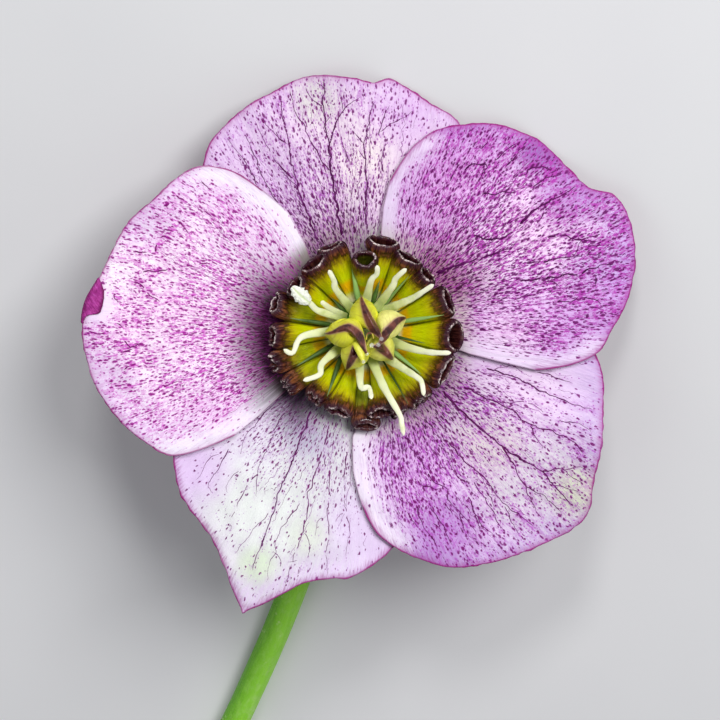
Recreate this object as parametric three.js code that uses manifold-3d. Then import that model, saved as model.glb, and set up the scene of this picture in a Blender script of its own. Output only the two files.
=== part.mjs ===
// A cut hellebore flower lying on its back: five overlapping sepals, a ring of tubular nectaries,
// the last stamens and five carpels, carried by one stem that lies along the surface.
// Millimetres and degrees, +Z up. In the flower head's own coordinates z is the flower's axis,
// turns are counted anticlockwise from x, and the stem leaves towards -y.
import * as THREE from "three";
import { mergeVertices } from "three/addons/utils/BufferGeometryUtils.js";
import Module from "manifold-3d";

// Driving dimensions
const GAP = 0.3; // clearance between pieces that touch
const HEAD_TILT = 27; // lean of the flower's axis from upright, towards +Y
const RECEPTACLE = {
  depth: 3.4, // from the sepals' seat down to the top of the stem
  sink: 1.2, // how far its neck reaches into the stem
  neck: [1.8, 2.1], // radius inside the stem and where it leaves it
  neckRise: 0.4,
  shoulder: [3.4, -1.5], // radius, height
  seatRadius: 4.4, // where the sepals join it
  collarRadius: 3.0, // inside the ring of nectaries
  topRadius: 2.4, // inside the ring of stamens
  seatBottom: -0.4,
  seatTop: 0.9,
  collarTop: 2.1,
  top: 3.1,
  slope: 0.1, // rise of each ledge towards the axis
  sides: 24,
};
const STEM = {
  radius: 1.9,
  sides: 12,
  steps: 34,
  bend: 2.5, // straight length where the bend meets the surface
  line: [[0.6, -15], [2.3, -24], [3.2, -36], [3.3, -54], [2.2, -75], [0.2, -96]], // x, y where it lies
};
const SEPAL = {
  thickness: 0.6,
  clawTurn: 32, // half-width of each sepal's foot
  cupHeight: 5.4, // scale of the open cup's rise from the seat
  cupRadius: 33,
  cupCurve: [2.2, 1.4], // how fast it rises at first and how much it levels out
  cupEnd: 1.15, // share of the radius past which it stays level
  marginStart: 0.75, // share of the radius where the waves of the margin begin
  layer: 0.55, // how far an edge passes above or below its neighbour's
  layerRise: 2, // length over which an edge takes its own layer
  columns: 24,
  rows: 8,
};

// The sepals. rim is the outline's outer part, as turn from the midrib and distance from the
// flower's axis; flare is each side's half-width at even steps from the foot to the rim's end;
// over is 1 where that edge lies above its neighbour's and -1 where it lies below, and settle
// gives the turns between which it changes. lift raises the middle, ripple waves the margin.
const SEPALS = [
  {
    name: "sepal_left",
    azimuth: 194.3,
    color: 0xdcb0d8,
    flare: { minus: [43, 48.3, 50, 46.8], plus: [41, 43.5, 45, 45.2] },
    over: { minus: 1, plus: 1 },
    settle: { minus: [14, 26], plus: [14, 27] },
    lift: 0.7,
    ripple: { height: 0.8, waves: 7, phase: 40 },
    rim: [
      [-46.8, 21.7], [-43.7, 25.5], [-38.9, 28.5], [-33, 30], [-26, 30.7], [-18.4, 32.2], [-12, 32.8],
      [-5, 33.4], [0.7, 34.6], [6, 34.9], [12, 34.6], [20, 33.7], [28.1, 31.9], [34.6, 30.1],
      [39.4, 28.4], [42.4, 25.1], [45.2, 20.6],
    ],
  },
  {
    name: "sepal_top",
    azimuth: 122.3,
    color: 0xd3b2cc,
    flare: { minus: [41, 44, 44.5, 42], plus: [41, 44, 44.5, 42] },
    over: { minus: -1, plus: -1 },
    settle: { minus: [7, 18], plus: [10, 21] },
    lift: 0.4,
    ripple: { height: 0.9, waves: 11, phase: 200 },
    rim: [
      [-42, 21], [-40, 25], [-36.5, 27.6], [-32.6, 28.8], [-27, 29.3], [-22, 30.3], [-16.4, 31.4],
      [-12.6, 30.8], [-7, 31.4], [2, 32.4], [10, 31.8], [18, 31.4], [26.5, 30.6], [31.5, 29.4],
      [36, 27.6], [40, 25], [42, 21],
    ],
  },
  {
    name: "sepal_upper_right",
    azimuth: 51.3,
    color: 0xcf86c6,
    flare: { minus: [39, 42, 42.6, 42.7], plus: [45, 51.3, 52.2, 51] },
    over: { minus: 1, plus: 1 },
    settle: { minus: [14, 25], plus: [17, 26] },
    lift: 0.2,
    ripple: { height: 0.9, waves: 8, phase: 150 },
    rim: [
      [-42.7, 21.4], [-39.2, 25.5], [-34.9, 28.7], [-29.1, 30.4], [-23, 32.5], [-16, 34.2], [-10, 35],
      [-4.8, 35.3], [-0.9, 34.8], [2.6, 32.8], [5.5, 32.4], [16.3, 32], [22.4, 31.2], [29.2, 29.9],
      [36.2, 27.8], [41.1, 26.2], [46.4, 23.1], [51, 19],
    ],
  },
  {
    name: "sepal_lower_right",
    azimuth: -18.7,
    color: 0xd39fce,
    flare: { minus: [50, 57.4, 55.3, 51.3], plus: [41, 44, 44, 42] },
    over: { minus: 1, plus: -1 },
    settle: { minus: [16, 30], plus: [14, 26] },
    lift: 0.3,
    ripple: { height: 0.9, waves: 8, phase: 300 },
    rim: [
      [-51.3, 21.4], [-47.4, 24.5], [-42, 26.9], [-35.5, 29.1], [-29.3, 31], [-21.7, 32.3],
      [-15.1, 33.3], [-9.7, 34.2], [-3.2, 35.4], [1.5, 35.3], [6.8, 33.6], [13.2, 32.4],
      [19.6, 31.2], [28.6, 29.9], [34.5, 28.4], [39, 26], [42, 22],
    ],
  },
  {
    name: "sepal_lower_left",
    azimuth: 266.3,
    color: 0xd8cdd6,
    flare: { minus: [41, 44, 44.5, 43], plus: [41, 43.5, 43.5, 41] },
    over: { minus: -1, plus: -1 },
    settle: { minus: [14, 26], plus: [5, 16] },
    lift: -0.3,
    ripple: { height: 0.7, waves: 9, phase: 90 },
    rim: [
      [-43, 21], [-40.5, 24.8], [-36, 27.2], [-32, 28.4], [-25, 30.2], [-19.7, 30.9], [-12.5, 31.7],
      [-7.3, 33.3], [-3.3, 35.5], [1.3, 37.8], [4.1, 36.1], [6.9, 34.2], [11.3, 31.9], [16.7, 30.8],
      [21.3, 30.4], [26, 29], [31, 27.3], [36, 24.8], [41, 19.5],
    ],
  },
];

// The nectaries: flattened trumpets that rise outwards from a low collar and open upwards.
const NECTARY = {
  collarOuter: 4.9,
  collarBottom: 1.2,
  collarTop: 2.1,
  course: [[3.9, 1.75], [5.9, 2.4], [8.1, 3.5], [9.9, 4.9], [11.1, 6.1]], // distance from the axis, height
  courseMouth: 11.1,
  footWidth: 1.5,
  footDepth: 0.8,
  mouthDepth: 1.8,
  widening: 0.7, // under 1 widens it early
  wall: 0.55,
  cavity: 0.3, // share of the length that is hollow
  steps: 5,
  sides: 8,
  collarSides: 40,
};
// One row for each nectary: turn, distance of the mouth from the axis, width of the mouth.
const NECTARIES = [
  [18.7, 10.9, 3.6], [-6.7, 10.7, 3.6], [-30, 10.7, 3.6], [-45.2, 10.9, 2.8], [-58.4, 9.9, 3.0],
  [-68.7, 11.9, 3.4], [-87.7, 10.4, 3.6], [-107.2, 10.6, 3.2], [-124.2, 11.9, 3.4],
  [-140.2, 11.9, 3.4], [-156.1, 11, 3.4], [-176.2, 11.5, 3.4], [168.3, 9.8, 3.2],
  [148.3, 10.6, 3.8], [133.9, 11.5, 3.6], [112, 8.6, 2.8], [100.5, 11.5, 3.8], [81.2, 10.6, 3.8],
  [64.3, 10.2, 2.8], [42.3, 11, 3.8],
];

// The stamens: bare filaments in a low ring. Each course is hand-set, x and y from root to tip.
const FILAMENT = {
  ringOuter: 4.1,
  ringBottom: 2.4,
  ringTop: 3.1,
  width: 0.9,
  tipWidth: 0.65,
  thickness: 0.6,
  heights: [[3.2, 2.8], [4, 3.7], [4.8, 4.9], [6.2, 6.6], [8, 7.9], [10.2, 8.7], [14, 9]], // by distance
  steps: 8,
  sides: 6,
  ringSides: 24,
};
const FILAMENTS = [
  [[-2.7, 2], [-5.3, 3.5], [-7, 5.4]],
  [[-1.3, 3], [-1.7, 6], [-1.7, 8.1]],
  [[0.1, 3.3], [1, 6.4], [1.8, 9]],
  [[0.8, 3.2], [3.2, 5.3], [4.1, 6.3], [5.6, 8.4]],
  [[3.2, 0.1], [5.4, 0.1], [8.1, 0.5], [10.6, 1.4]],
  [[2.8, -1.9], [5.3, -2.4], [7.9, -2.9], [9.4, -4.7]],
  [[1.7, -2.8], [4.4, -5.4], [7.5, -7.9], [8.9, -10.1]],
  [[0.4, -3.3], [1.8, -6.4], [2.8, -6.2], [3.6, -7.4]],
  [[-2.1, -2.6], [-3.6, -5.5], [-3.4, -6.9], [-5, -8.3]],
  [[-3.2, -0.9], [-7, -3.3], [-7.4, -5.6], [-8.6, -5.6]],
  [[-3.2, 0.8], [-6.2, 0.3], [-7.7, 0.8], [-9.2, 1.3]],
  [[-3.3, 0.7], [-5.2, 1.1], [-6.5, 1.5]],
];
const ANTHER = {
  course: [[-8.9, 1.2], [-10.5, 1.9]],
  width: 1.7,
  thickness: 1.1,
  swell: [0.15, 0.85], // part of a full oval's length that its two ends cut
  steps: 4,
};

// The carpels: swollen follicles that stand together and end in curved styles.
const CARPEL = {
  foot: 3.4,
  footTop: 4.4,
  footRadius: 2.4, // the disc in which they are grown together
  footSides: 16,
  body: [[0.55, 4.1], [0.8, 5], [0.95, 6.2], [0.9, 7.8]], // share of the belly's distance, height
  styleStart: [0.4, 8.8], // share of the way from the belly to the tip, height
  tipHeight: 9.3,
  widths: [[0, 1.7], [0.2, 3.3], [0.42, 3.7], [0.6, 2.3], [0.78, 1.1], [1, 0.6]], // by share of length
  depths: [[0, 1.7], [0.2, 3.1], [0.42, 3.5], [0.6, 2.3], [0.78, 0.95], [1, 0.6]],
  steps: 9,
  sides: 8,
};
// One row for each carpel: where its belly stands and where its style ends, x and y.
const CARPELS = [
  [[-1.3, 1.8], [2.1, -0.1]],
  [[2.6, 1.9], [2, -0.9]],
  [[-2.8, -1.1], [1, -2.4]],
  [[-0.9, -3.1], [1, -3.5]],
  [[2.4, -1.2], [1.3, -1.3]],
];

// Colour and roughness of each finish; a sepal's colour is in its own row.
const FINISH = {
  sepal: { roughness: 0.5 },
  nectaries: { color: 0xa3a41c, roughness: 0.35 },
  stamens: { color: 0xe9edc4, roughness: 0.45 },
  carpels: { color: 0xbcb84e, roughness: 0.4 },
  stem: { color: 0x7fae3c, roughness: 0.45 },
};

const wasm = await Module();
wasm.setup();

const { degToRad, radToDeg, smoothstep, lerp } = THREE.MathUtils;
const UP = new THREE.Vector3(0, 0, 1);
const SEAT = RECEPTACLE.seatRadius + GAP; // where the sepals begin

function onPlan(turn, reach) {
  return new THREE.Vector2(reach * Math.cos(degToRad(turn)), reach * Math.sin(degToRad(turn)));
}

// The turn of a point on the plan, between -180 and 180.
function turnOf(point) {
  return radToDeg(Math.atan2(point.y, point.x));
}

// Straight-line reading of a list of [place, value] rows.
function along(rows, place) {
  const last = rows.length - 1;
  if (place <= rows[0][0]) {
    return rows[0][1];
  }
  if (place >= rows[last][0]) {
    return rows[last][1];
  }
  const i = rows.findIndex((row) => row[0] > place);
  const share = (place - rows[i - 1][0]) / (rows[i][0] - rows[i - 1][0]);
  return lerp(rows[i - 1][1], rows[i][1], share);
}

function toSolid(geometry) {
  geometry.deleteAttribute("normal");
  geometry.deleteAttribute("uv");
  const merged = mergeVertices(geometry);
  return new wasm.Manifold(
    new wasm.Mesh({
      numProp: 3,
      vertProperties: merged.attributes.position.array,
      triVerts: new Uint32Array(merged.index.array),
    }),
  );
}

function toGeometry(solid) {
  const mesh = solid.getMesh();
  const geometry = new THREE.BufferGeometry();
  geometry.setAttribute("position", new THREE.BufferAttribute(mesh.vertProperties, 3));
  geometry.setIndex(new THREE.BufferAttribute(mesh.triVerts, 1));
  geometry.computeVertexNormals();
  return geometry;
}

function toMesh(name, geometry, finish) {
  const material = new THREE.MeshStandardMaterial({ ...finish, metalness: 0 });
  const mesh = new THREE.Mesh(geometry, material);
  mesh.name = name;
  return mesh;
}

function fromVertices(vertices, triangles) {
  const geometry = new THREE.BufferGeometry().setFromPoints(vertices);
  geometry.setIndex(triangles);
  return geometry;
}

// Joins a run of rings with equal point counts into one closed body.
function skin(rings) {
  const sides = rings[0].length;
  const triangles = [];
  for (let i = 0; i + 1 < rings.length; i++) {
    for (let j = 0; j < sides; j++) {
      const a = i * sides + j;
      const b = i * sides + ((j + 1) % sides);
      triangles.push(a, b, b + sides, a, b + sides, a + sides);
    }
  }
  const end = (rings.length - 1) * sides;
  for (let j = 1; j + 1 < sides; j++) {
    triangles.push(0, j + 1, j);
    triangles.push(end, end + j, end + j + 1);
  }
  return fromVertices(rings.flat(), triangles);
}

// An oval ring round a point, facing along a direction, with its width along side.
function ovalRing(center, facing, side, width, depth, sides) {
  const across = side.clone().addScaledVector(facing, -side.dot(facing)).normalize();
  const upward = new THREE.Vector3().crossVectors(facing, across);
  return Array.from({ length: sides }, (_, k) => {
    const turn = (2 * Math.PI * (k + 0.5)) / sides;
    return center
      .clone()
      .addScaledVector(across, (width / 2) * Math.cos(turn))
      .addScaledVector(upward, (depth / 2) * Math.sin(turn));
  });
}

// Turns a profile of [radius, height] rows round the flower's axis.
function turned(profile, segments) {
  const points = profile.map(([radius, height]) => new THREE.Vector2(radius, height));
  return new THREE.LatheGeometry(points, segments).rotateX(Math.PI / 2);
}

function turnedRing(inner, outer, bottom, top, segments) {
  return turned([[inner, bottom], [outer, bottom], [outer, top], [inner, top], [inner, bottom]], segments);
}

// Height of the open cup at a distance from the axis.
function cup(reach) {
  const share = Math.min((reach - SEAT) / (SEPAL.cupRadius - SEAT), SEPAL.cupEnd);
  const [rise, fall] = SEPAL.cupCurve;
  return SEPAL.cupHeight * (rise * share - fall * share * share);
}

// Height of the middle of a sepal's thickness.
function sepalHeight(sepal, turn, reach) {
  const side = turn < 0 ? "minus" : "plus";
  const edge = smoothstep(Math.abs(turn), ...sepal.settle[side]);
  const layered = sepal.over[side] * edge * smoothstep(reach, SEAT, SEAT + SEPAL.layerRise);
  const outer = smoothstep(reach, SEAT, SEPAL.cupRadius);
  const margin = smoothstep(reach, SEPAL.marginStart * SEPAL.cupRadius, SEPAL.cupRadius);
  const wave = Math.sin(degToRad(sepal.ripple.waves * turn + sepal.ripple.phase));
  const middle = (1 - edge) * (sepal.lift * outer + sepal.ripple.height * margin * wave);
  return SEPAL.thickness / 2 + cup(reach) + SEPAL.layer * layered + middle;
}

function sepalGeometry(sepal) {
  const outline = new THREE.SplineCurve(sepal.rim.map(([turn, reach]) => onPlan(turn, reach)));
  const rim = outline.getSpacedPoints(SEPAL.columns);
  const { columns, rows, thickness } = SEPAL;
  const faces = [];
  for (const point of rim) {
    const turn = turnOf(point);
    const widths = [SEPAL.clawTurn, ...sepal.flare[turn < 0 ? "minus" : "plus"]];
    const spread = widths.map((width, k) => [k / (widths.length - 1), width / widths.at(-1)]);
    for (let j = 0; j <= rows; j++) {
      const reach = lerp(SEAT, point.length(), j / rows);
      const own = turn * along(spread, j / rows);
      const place = onPlan(sepal.azimuth + own, reach);
      faces.push(new THREE.Vector3(place.x, place.y, sepalHeight(sepal, own, reach)));
    }
  }
  const top = faces.map((p) => p.clone().setZ(p.z + thickness / 2));
  const bottom = faces.map((p) => p.clone().setZ(p.z - thickness / 2));
  const under = faces.length;
  const at = (i, j) => i * (rows + 1) + j;
  const triangles = [];
  for (let i = 0; i < columns; i++) {
    for (let j = 0; j < rows; j++) {
      const [a, b, c, d] = [at(i, j), at(i, j + 1), at(i + 1, j + 1), at(i + 1, j)];
      triangles.push(a, b, c, a, c, d);
      triangles.push(under + a, under + c, under + b, under + a, under + d, under + c);
    }
  }
  const border = [];
  for (let i = 0; i < columns; i++) {
    border.push(at(i, rows));
  }
  for (let j = rows; j > 0; j--) {
    border.push(at(columns, j));
  }
  for (let i = columns; i > 0; i--) {
    border.push(at(i, 0));
  }
  for (let j = 0; j < rows; j++) {
    border.push(at(0, j));
  }
  border.forEach((p, k) => {
    const q = border[(k + 1) % border.length];
    triangles.push(under + p, under + q, q, under + p, q, p);
  });
  return fromVertices([...top, ...bottom], triangles);
}

function nectarySolid([turn, mouthReach, mouthWidth]) {
  const outward = onPlan(turn, 1);
  const side = new THREE.Vector3(-outward.y, outward.x, 0);
  const first = NECTARY.course[0][0];
  const stretch = (mouthReach - first) / (NECTARY.courseMouth - first);
  const course = new THREE.CatmullRomCurve3(
    NECTARY.course.map(([reach, height]) => {
      const far = first + (reach - first) * stretch;
      return new THREE.Vector3(outward.x * far, outward.y * far, height);
    }),
  );
  const ringAt = (share, inset) => {
    const widen = Math.pow(share, NECTARY.widening);
    const width = lerp(NECTARY.footWidth, mouthWidth, widen) - 2 * inset;
    const depth = lerp(NECTARY.footDepth, NECTARY.mouthDepth, widen) - 2 * inset;
    const facing = course.getTangentAt(share);
    return ovalRing(course.getPointAt(share), facing, side, width, depth, NECTARY.sides);
  };
  const rings = [];
  for (let i = 0; i <= NECTARY.steps; i++) {
    rings.push(ringAt(i / NECTARY.steps, 0));
  }
  rings.push(ringAt(1, NECTARY.wall));
  rings.push(ringAt(1 - NECTARY.cavity, NECTARY.wall));
  return toSolid(skin(rings));
}

function nectaryRing() {
  const collar = turnedRing(
    RECEPTACLE.collarRadius + GAP,
    NECTARY.collarOuter,
    NECTARY.collarBottom,
    NECTARY.collarTop,
    NECTARY.collarSides,
  );
  return toGeometry(NECTARIES.reduce((whole, row) => whole.add(nectarySolid(row)), toSolid(collar)));
}

// A flat ribbon along a course on the plan; its size at a share of the length is [width, thickness].
function ribbonSolid(course, steps, sizeAt) {
  const line = new THREE.CatmullRomCurve3(
    course.map(([x, y]) => new THREE.Vector3(x, y, along(FILAMENT.heights, Math.hypot(x, y)))),
  );
  const rings = [];
  for (let i = 0; i <= steps; i++) {
    const share = i / steps;
    const facing = line.getTangentAt(share);
    const side = new THREE.Vector3().crossVectors(UP, facing);
    rings.push(ovalRing(line.getPointAt(share), facing, side, ...sizeAt(share), FILAMENT.sides));
  }
  return toSolid(skin(rings));
}

function filamentSolid(course) {
  const { steps, width, tipWidth, thickness } = FILAMENT;
  return ribbonSolid(course, steps, (share) => [lerp(width, tipWidth, share), thickness]);
}

function antherSolid() {
  const { course, steps, width, thickness, swell } = ANTHER;
  return ribbonSolid(course, steps, (share) => {
    const bulge = Math.sin(Math.PI * lerp(...swell, share));
    return [width * bulge, thickness * bulge];
  });
}

function stamenRing() {
  const ring = turnedRing(
    RECEPTACLE.topRadius + GAP,
    FILAMENT.ringOuter,
    FILAMENT.ringBottom,
    FILAMENT.ringTop,
    FILAMENT.ringSides,
  );
  const bare = FILAMENTS.reduce((whole, course) => whole.add(filamentSolid(course)), toSolid(ring));
  return toGeometry(bare.add(antherSolid()));
}

function carpelSolid([belly, tip]) {
  const [bellyAt, tipAt] = [belly, tip].map(([x, y]) => new THREE.Vector3(x, y, 0));
  const [bendShare, bendHeight] = CARPEL.styleStart;
  const course = new THREE.CatmullRomCurve3([
    ...CARPEL.body.map(([share, height]) => bellyAt.clone().multiplyScalar(share).setZ(height)),
    bellyAt.clone().lerp(tipAt, bendShare).setZ(bendHeight),
    tipAt.clone().setZ(CARPEL.tipHeight),
  ]);
  const side = new THREE.Vector3().crossVectors(UP, bellyAt).normalize();
  const rings = [];
  for (let i = 0; i <= CARPEL.steps; i++) {
    const share = i / CARPEL.steps;
    const width = along(CARPEL.widths, share);
    const depth = along(CARPEL.depths, share);
    const facing = course.getTangentAt(share);
    rings.push(ovalRing(course.getPointAt(share), facing, side, width, depth, CARPEL.sides));
  }
  return toSolid(skin(rings));
}

function carpelCluster() {
  const { foot, footTop, footRadius, footSides } = CARPEL;
  const disc = turned([[0, foot], [footRadius, foot], [footRadius, footTop], [0, footTop]], footSides);
  return toGeometry(CARPELS.reduce((whole, row) => whole.add(carpelSolid(row)), toSolid(disc)));
}

function receptacleGeometry() {
  const r = RECEPTACLE;
  const [neckInside, neckOutside] = r.neck;
  const profile = [
    [0, -r.depth - r.sink],
    [neckInside, -r.depth - r.sink],
    [neckOutside, -r.depth + r.neckRise],
    r.shoulder,
    [r.seatRadius, r.seatBottom],
    [r.seatRadius, r.seatTop],
    [r.collarRadius, r.seatTop + r.slope],
    [r.collarRadius, r.collarTop],
    [r.topRadius, r.collarTop + r.slope],
    [r.topRadius, r.top],
    [0, r.top],
  ];
  return turned(profile, r.sides);
}

function stemGeometry(head) {
  const axisDown = new THREE.Vector3(0, 0, -1).transformDirection(head.matrix);
  const reach = (head.position.z - STEM.radius) / -axisDown.z;
  const start = head.position.clone().addScaledVector(axisDown, RECEPTACLE.depth);
  const corner = head.position.clone().addScaledVector(axisDown, reach);
  const landing = corner.clone().setY(corner.y - start.distanceTo(corner));
  const settled = landing.clone().setY(landing.y - STEM.bend);
  const lying = STEM.line.map(([x, y]) => new THREE.Vector3(x, y, STEM.radius));
  const path = new THREE.CurvePath();
  path.add(new THREE.QuadraticBezierCurve3(start, corner, landing));
  path.add(new THREE.CatmullRomCurve3([landing, settled, ...lying]));
  const section = new THREE.Shape(
    Array.from({ length: STEM.sides }, (_, k) => {
      const turn = (2 * Math.PI * (k + 0.5)) / STEM.sides;
      const radius = STEM.radius / Math.cos(Math.PI / STEM.sides);
      return new THREE.Vector2(radius * Math.cos(turn), radius * Math.sin(turn));
    }),
  );
  const extrusion = { steps: STEM.steps, extrudePath: path, bevelEnabled: false };
  const tube = new THREE.ExtrudeGeometry(section, extrusion);
  const receptacle = receptacleGeometry().applyMatrix4(head.matrix);
  return toGeometry(toSolid(tube).add(toSolid(receptacle)));
}

const group = new THREE.Group();
const head = new THREE.Group();
head.rotation.x = degToRad(-HEAD_TILT);
for (const sepal of SEPALS) {
  head.add(toMesh(sepal.name, sepalGeometry(sepal), { ...FINISH.sepal, color: sepal.color }));
}
head.add(toMesh("nectaries", nectaryRing(), FINISH.nectaries));
head.add(toMesh("stamens", stamenRing(), FINISH.stamens));
head.add(toMesh("carpels", carpelCluster(), FINISH.carpels));

// The head rests on its lowest sepals; the stem then runs from it down to the surface.
head.position.z = -new THREE.Box3().setFromObject(head, true).min.z;
head.updateMatrix();
group.add(head);
group.add(toMesh("stem", stemGeometry(head), FINISH.stem));

// The origin is under the middle of the whole.
const middle = new THREE.Box3().setFromObject(group, true).getCenter(new THREE.Vector3());
group.children.forEach((piece) => piece.position.sub(new THREE.Vector3(middle.x, middle.y, 0)));

export default group;
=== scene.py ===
import math
import random

import bmesh
import bpy
import numpy as np
from mathutils import Matrix, Vector
from mathutils.bvhtree import BVHTree


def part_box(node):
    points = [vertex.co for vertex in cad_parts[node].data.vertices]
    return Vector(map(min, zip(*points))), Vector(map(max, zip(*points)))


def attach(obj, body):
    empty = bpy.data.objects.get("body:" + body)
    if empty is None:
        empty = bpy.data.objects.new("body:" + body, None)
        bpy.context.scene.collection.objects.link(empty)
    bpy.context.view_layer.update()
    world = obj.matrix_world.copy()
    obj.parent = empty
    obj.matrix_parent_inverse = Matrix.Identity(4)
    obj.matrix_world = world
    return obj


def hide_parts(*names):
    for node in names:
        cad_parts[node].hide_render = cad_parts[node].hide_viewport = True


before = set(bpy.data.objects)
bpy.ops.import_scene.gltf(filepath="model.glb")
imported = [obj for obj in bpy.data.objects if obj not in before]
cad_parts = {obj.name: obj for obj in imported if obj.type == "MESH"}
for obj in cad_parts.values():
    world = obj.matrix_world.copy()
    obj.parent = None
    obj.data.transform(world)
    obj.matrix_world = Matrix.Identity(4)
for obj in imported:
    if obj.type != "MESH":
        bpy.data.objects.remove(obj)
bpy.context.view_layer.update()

millimetre = 0.001
spanSteps = 24  # points between two given ones on a smooth line
scene = bpy.context.scene

print("hellebore: frame loaded")


# small helpers: numbers
def smoothStep(x, low, high):
    t = np.clip((x - low) / (high - low), 0, 1)
    return t * t * (3 - 2 * t)


def unit(vectors):  # each vector made one long
    return vectors / np.linalg.norm(vectors, axis=-1, keepdims=True)


def planPoint(turn, reach):
    return np.stack([reach * np.cos(np.radians(turn)), reach * np.sin(np.radians(turn))], axis=-1)


def roundTurns(count):  # even angles all the way round
    return np.linspace(0, 2 * math.pi, count, endpoint=False)


def wayAlong(line):  # how far along a line each of its points lies
    return np.r_[0, np.cumsum(np.linalg.norm(np.diff(line, axis=0), axis=1))]


def throughPoints(points, count):  # an even run of points on a smooth line
    p = np.array(points, float)
    ends = np.vstack([p[:1], p, p[-1:]])
    t = np.linspace(0, 1, spanSteps, endpoint=False)[:, None]
    spans = [
        b + (c - a) * t / 2 + (a - 2.5 * b + 2 * c - d / 2) * t**2 + (-a + 3 * b - 3 * c + d) * t**3 / 2
        for a, b, c, d in zip(ends, ends[1:], ends[2:], ends[3:])
    ]
    dense = np.vstack([*spans, p[-1:]])
    gone = wayAlong(dense)
    at = np.linspace(0, gone[-1], count + 1)
    return np.stack([np.interp(at, gone, column) for column in dense.T], axis=1)


def unevenness(x, y, seed, waves=9, longest=9.0, shortest=2.5):  # soft bumps of seeded sines, about -1 to 1
    draw = random.Random(seed)
    total = np.zeros(np.broadcast(x, y).shape)
    for _ in range(waves):
        length, heading = draw.uniform(shortest, longest), draw.uniform(0, math.pi)
        phase = draw.uniform(0, 6.28)
        total += np.sin((x * math.cos(heading) + y * math.sin(heading)) * 2 * math.pi / length + phase)
    return total / math.sqrt(waves * 2)


def tubeFaces(rings, around, first=0):  # rings of points joined to a tube that is closed at both ends
    faces = []
    for start in range(first, first + (rings - 1) * around, around):
        for j in range(around):
            a, b = start + j, start + (j + 1) % around
            faces.append((a, b, b + around, a + around))
    last = first + (rings - 1) * around
    return [*faces, tuple(range(first, first + around))[::-1], tuple(range(last, last + around))]


def shellFaces(columns, rows, turned=False):  # two grids of points back to back, joined along their border
    count = (columns + 1) * (rows + 1)
    index = np.arange(count).reshape(columns + 1, rows + 1)
    corners = [index[:-1, :-1], index[:-1, 1:], index[1:, 1:], index[1:, :-1]]
    quads = np.stack(corners, axis=-1).reshape(-1, 4)
    border = np.concatenate([index[:, -1], index[-1, -2::-1], index[-2::-1, 0], index[0, 1:-1]])
    ahead = np.roll(border, -1)
    walls = np.stack([border + count, ahead + count, ahead, border], axis=-1)
    faces = np.vstack([quads, quads[:, ::-1] + count, walls])
    return (faces[:, ::-1] if turned else faces).tolist()


def linear(tone):  # a screen colour, 0 to 255, as a shader's colour
    part = [c / 255 for c in tone]
    return (*[c / 12.92 if c <= 0.04045 else ((c + 0.055) / 1.055) ** 2.4 for c in part], 1.0)


# small helpers: nodes
class Wire:  # a socket that takes part in sums, in shader and geometry trees alike
    def __init__(self, graph, node, out=0):
        self.graph, self.node = graph, node
        self.socket = node.outputs[out] if node.outputs else None

    def out(self, name):
        return Wire(self.graph, self.node, name)

    def math(self, operation, *others, swap=False):
        terms = [self, *others]
        if swap:
            terms.reverse()
        return self.graph.add("ShaderNodeMath", {"operation": operation}, dict(enumerate(terms)))

    def __add__(self, other):
        return self.math("ADD", other)

    def __radd__(self, other):
        return self.math("ADD", other)

    def __sub__(self, other):
        return self.math("SUBTRACT", other)

    def __rsub__(self, other):
        return self.math("SUBTRACT", other, swap=True)

    def __mul__(self, other):
        return self.math("MULTIPLY", other)

    def __rmul__(self, other):
        return self.math("MULTIPLY", other)

    def __truediv__(self, other):
        return self.math("DIVIDE", other)

    def __pow__(self, other):
        return self.math("POWER", other)

    def __lt__(self, other):
        return self.math("LESS_THAN", other)

    def __gt__(self, other):
        return self.math("GREATER_THAN", other)


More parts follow.
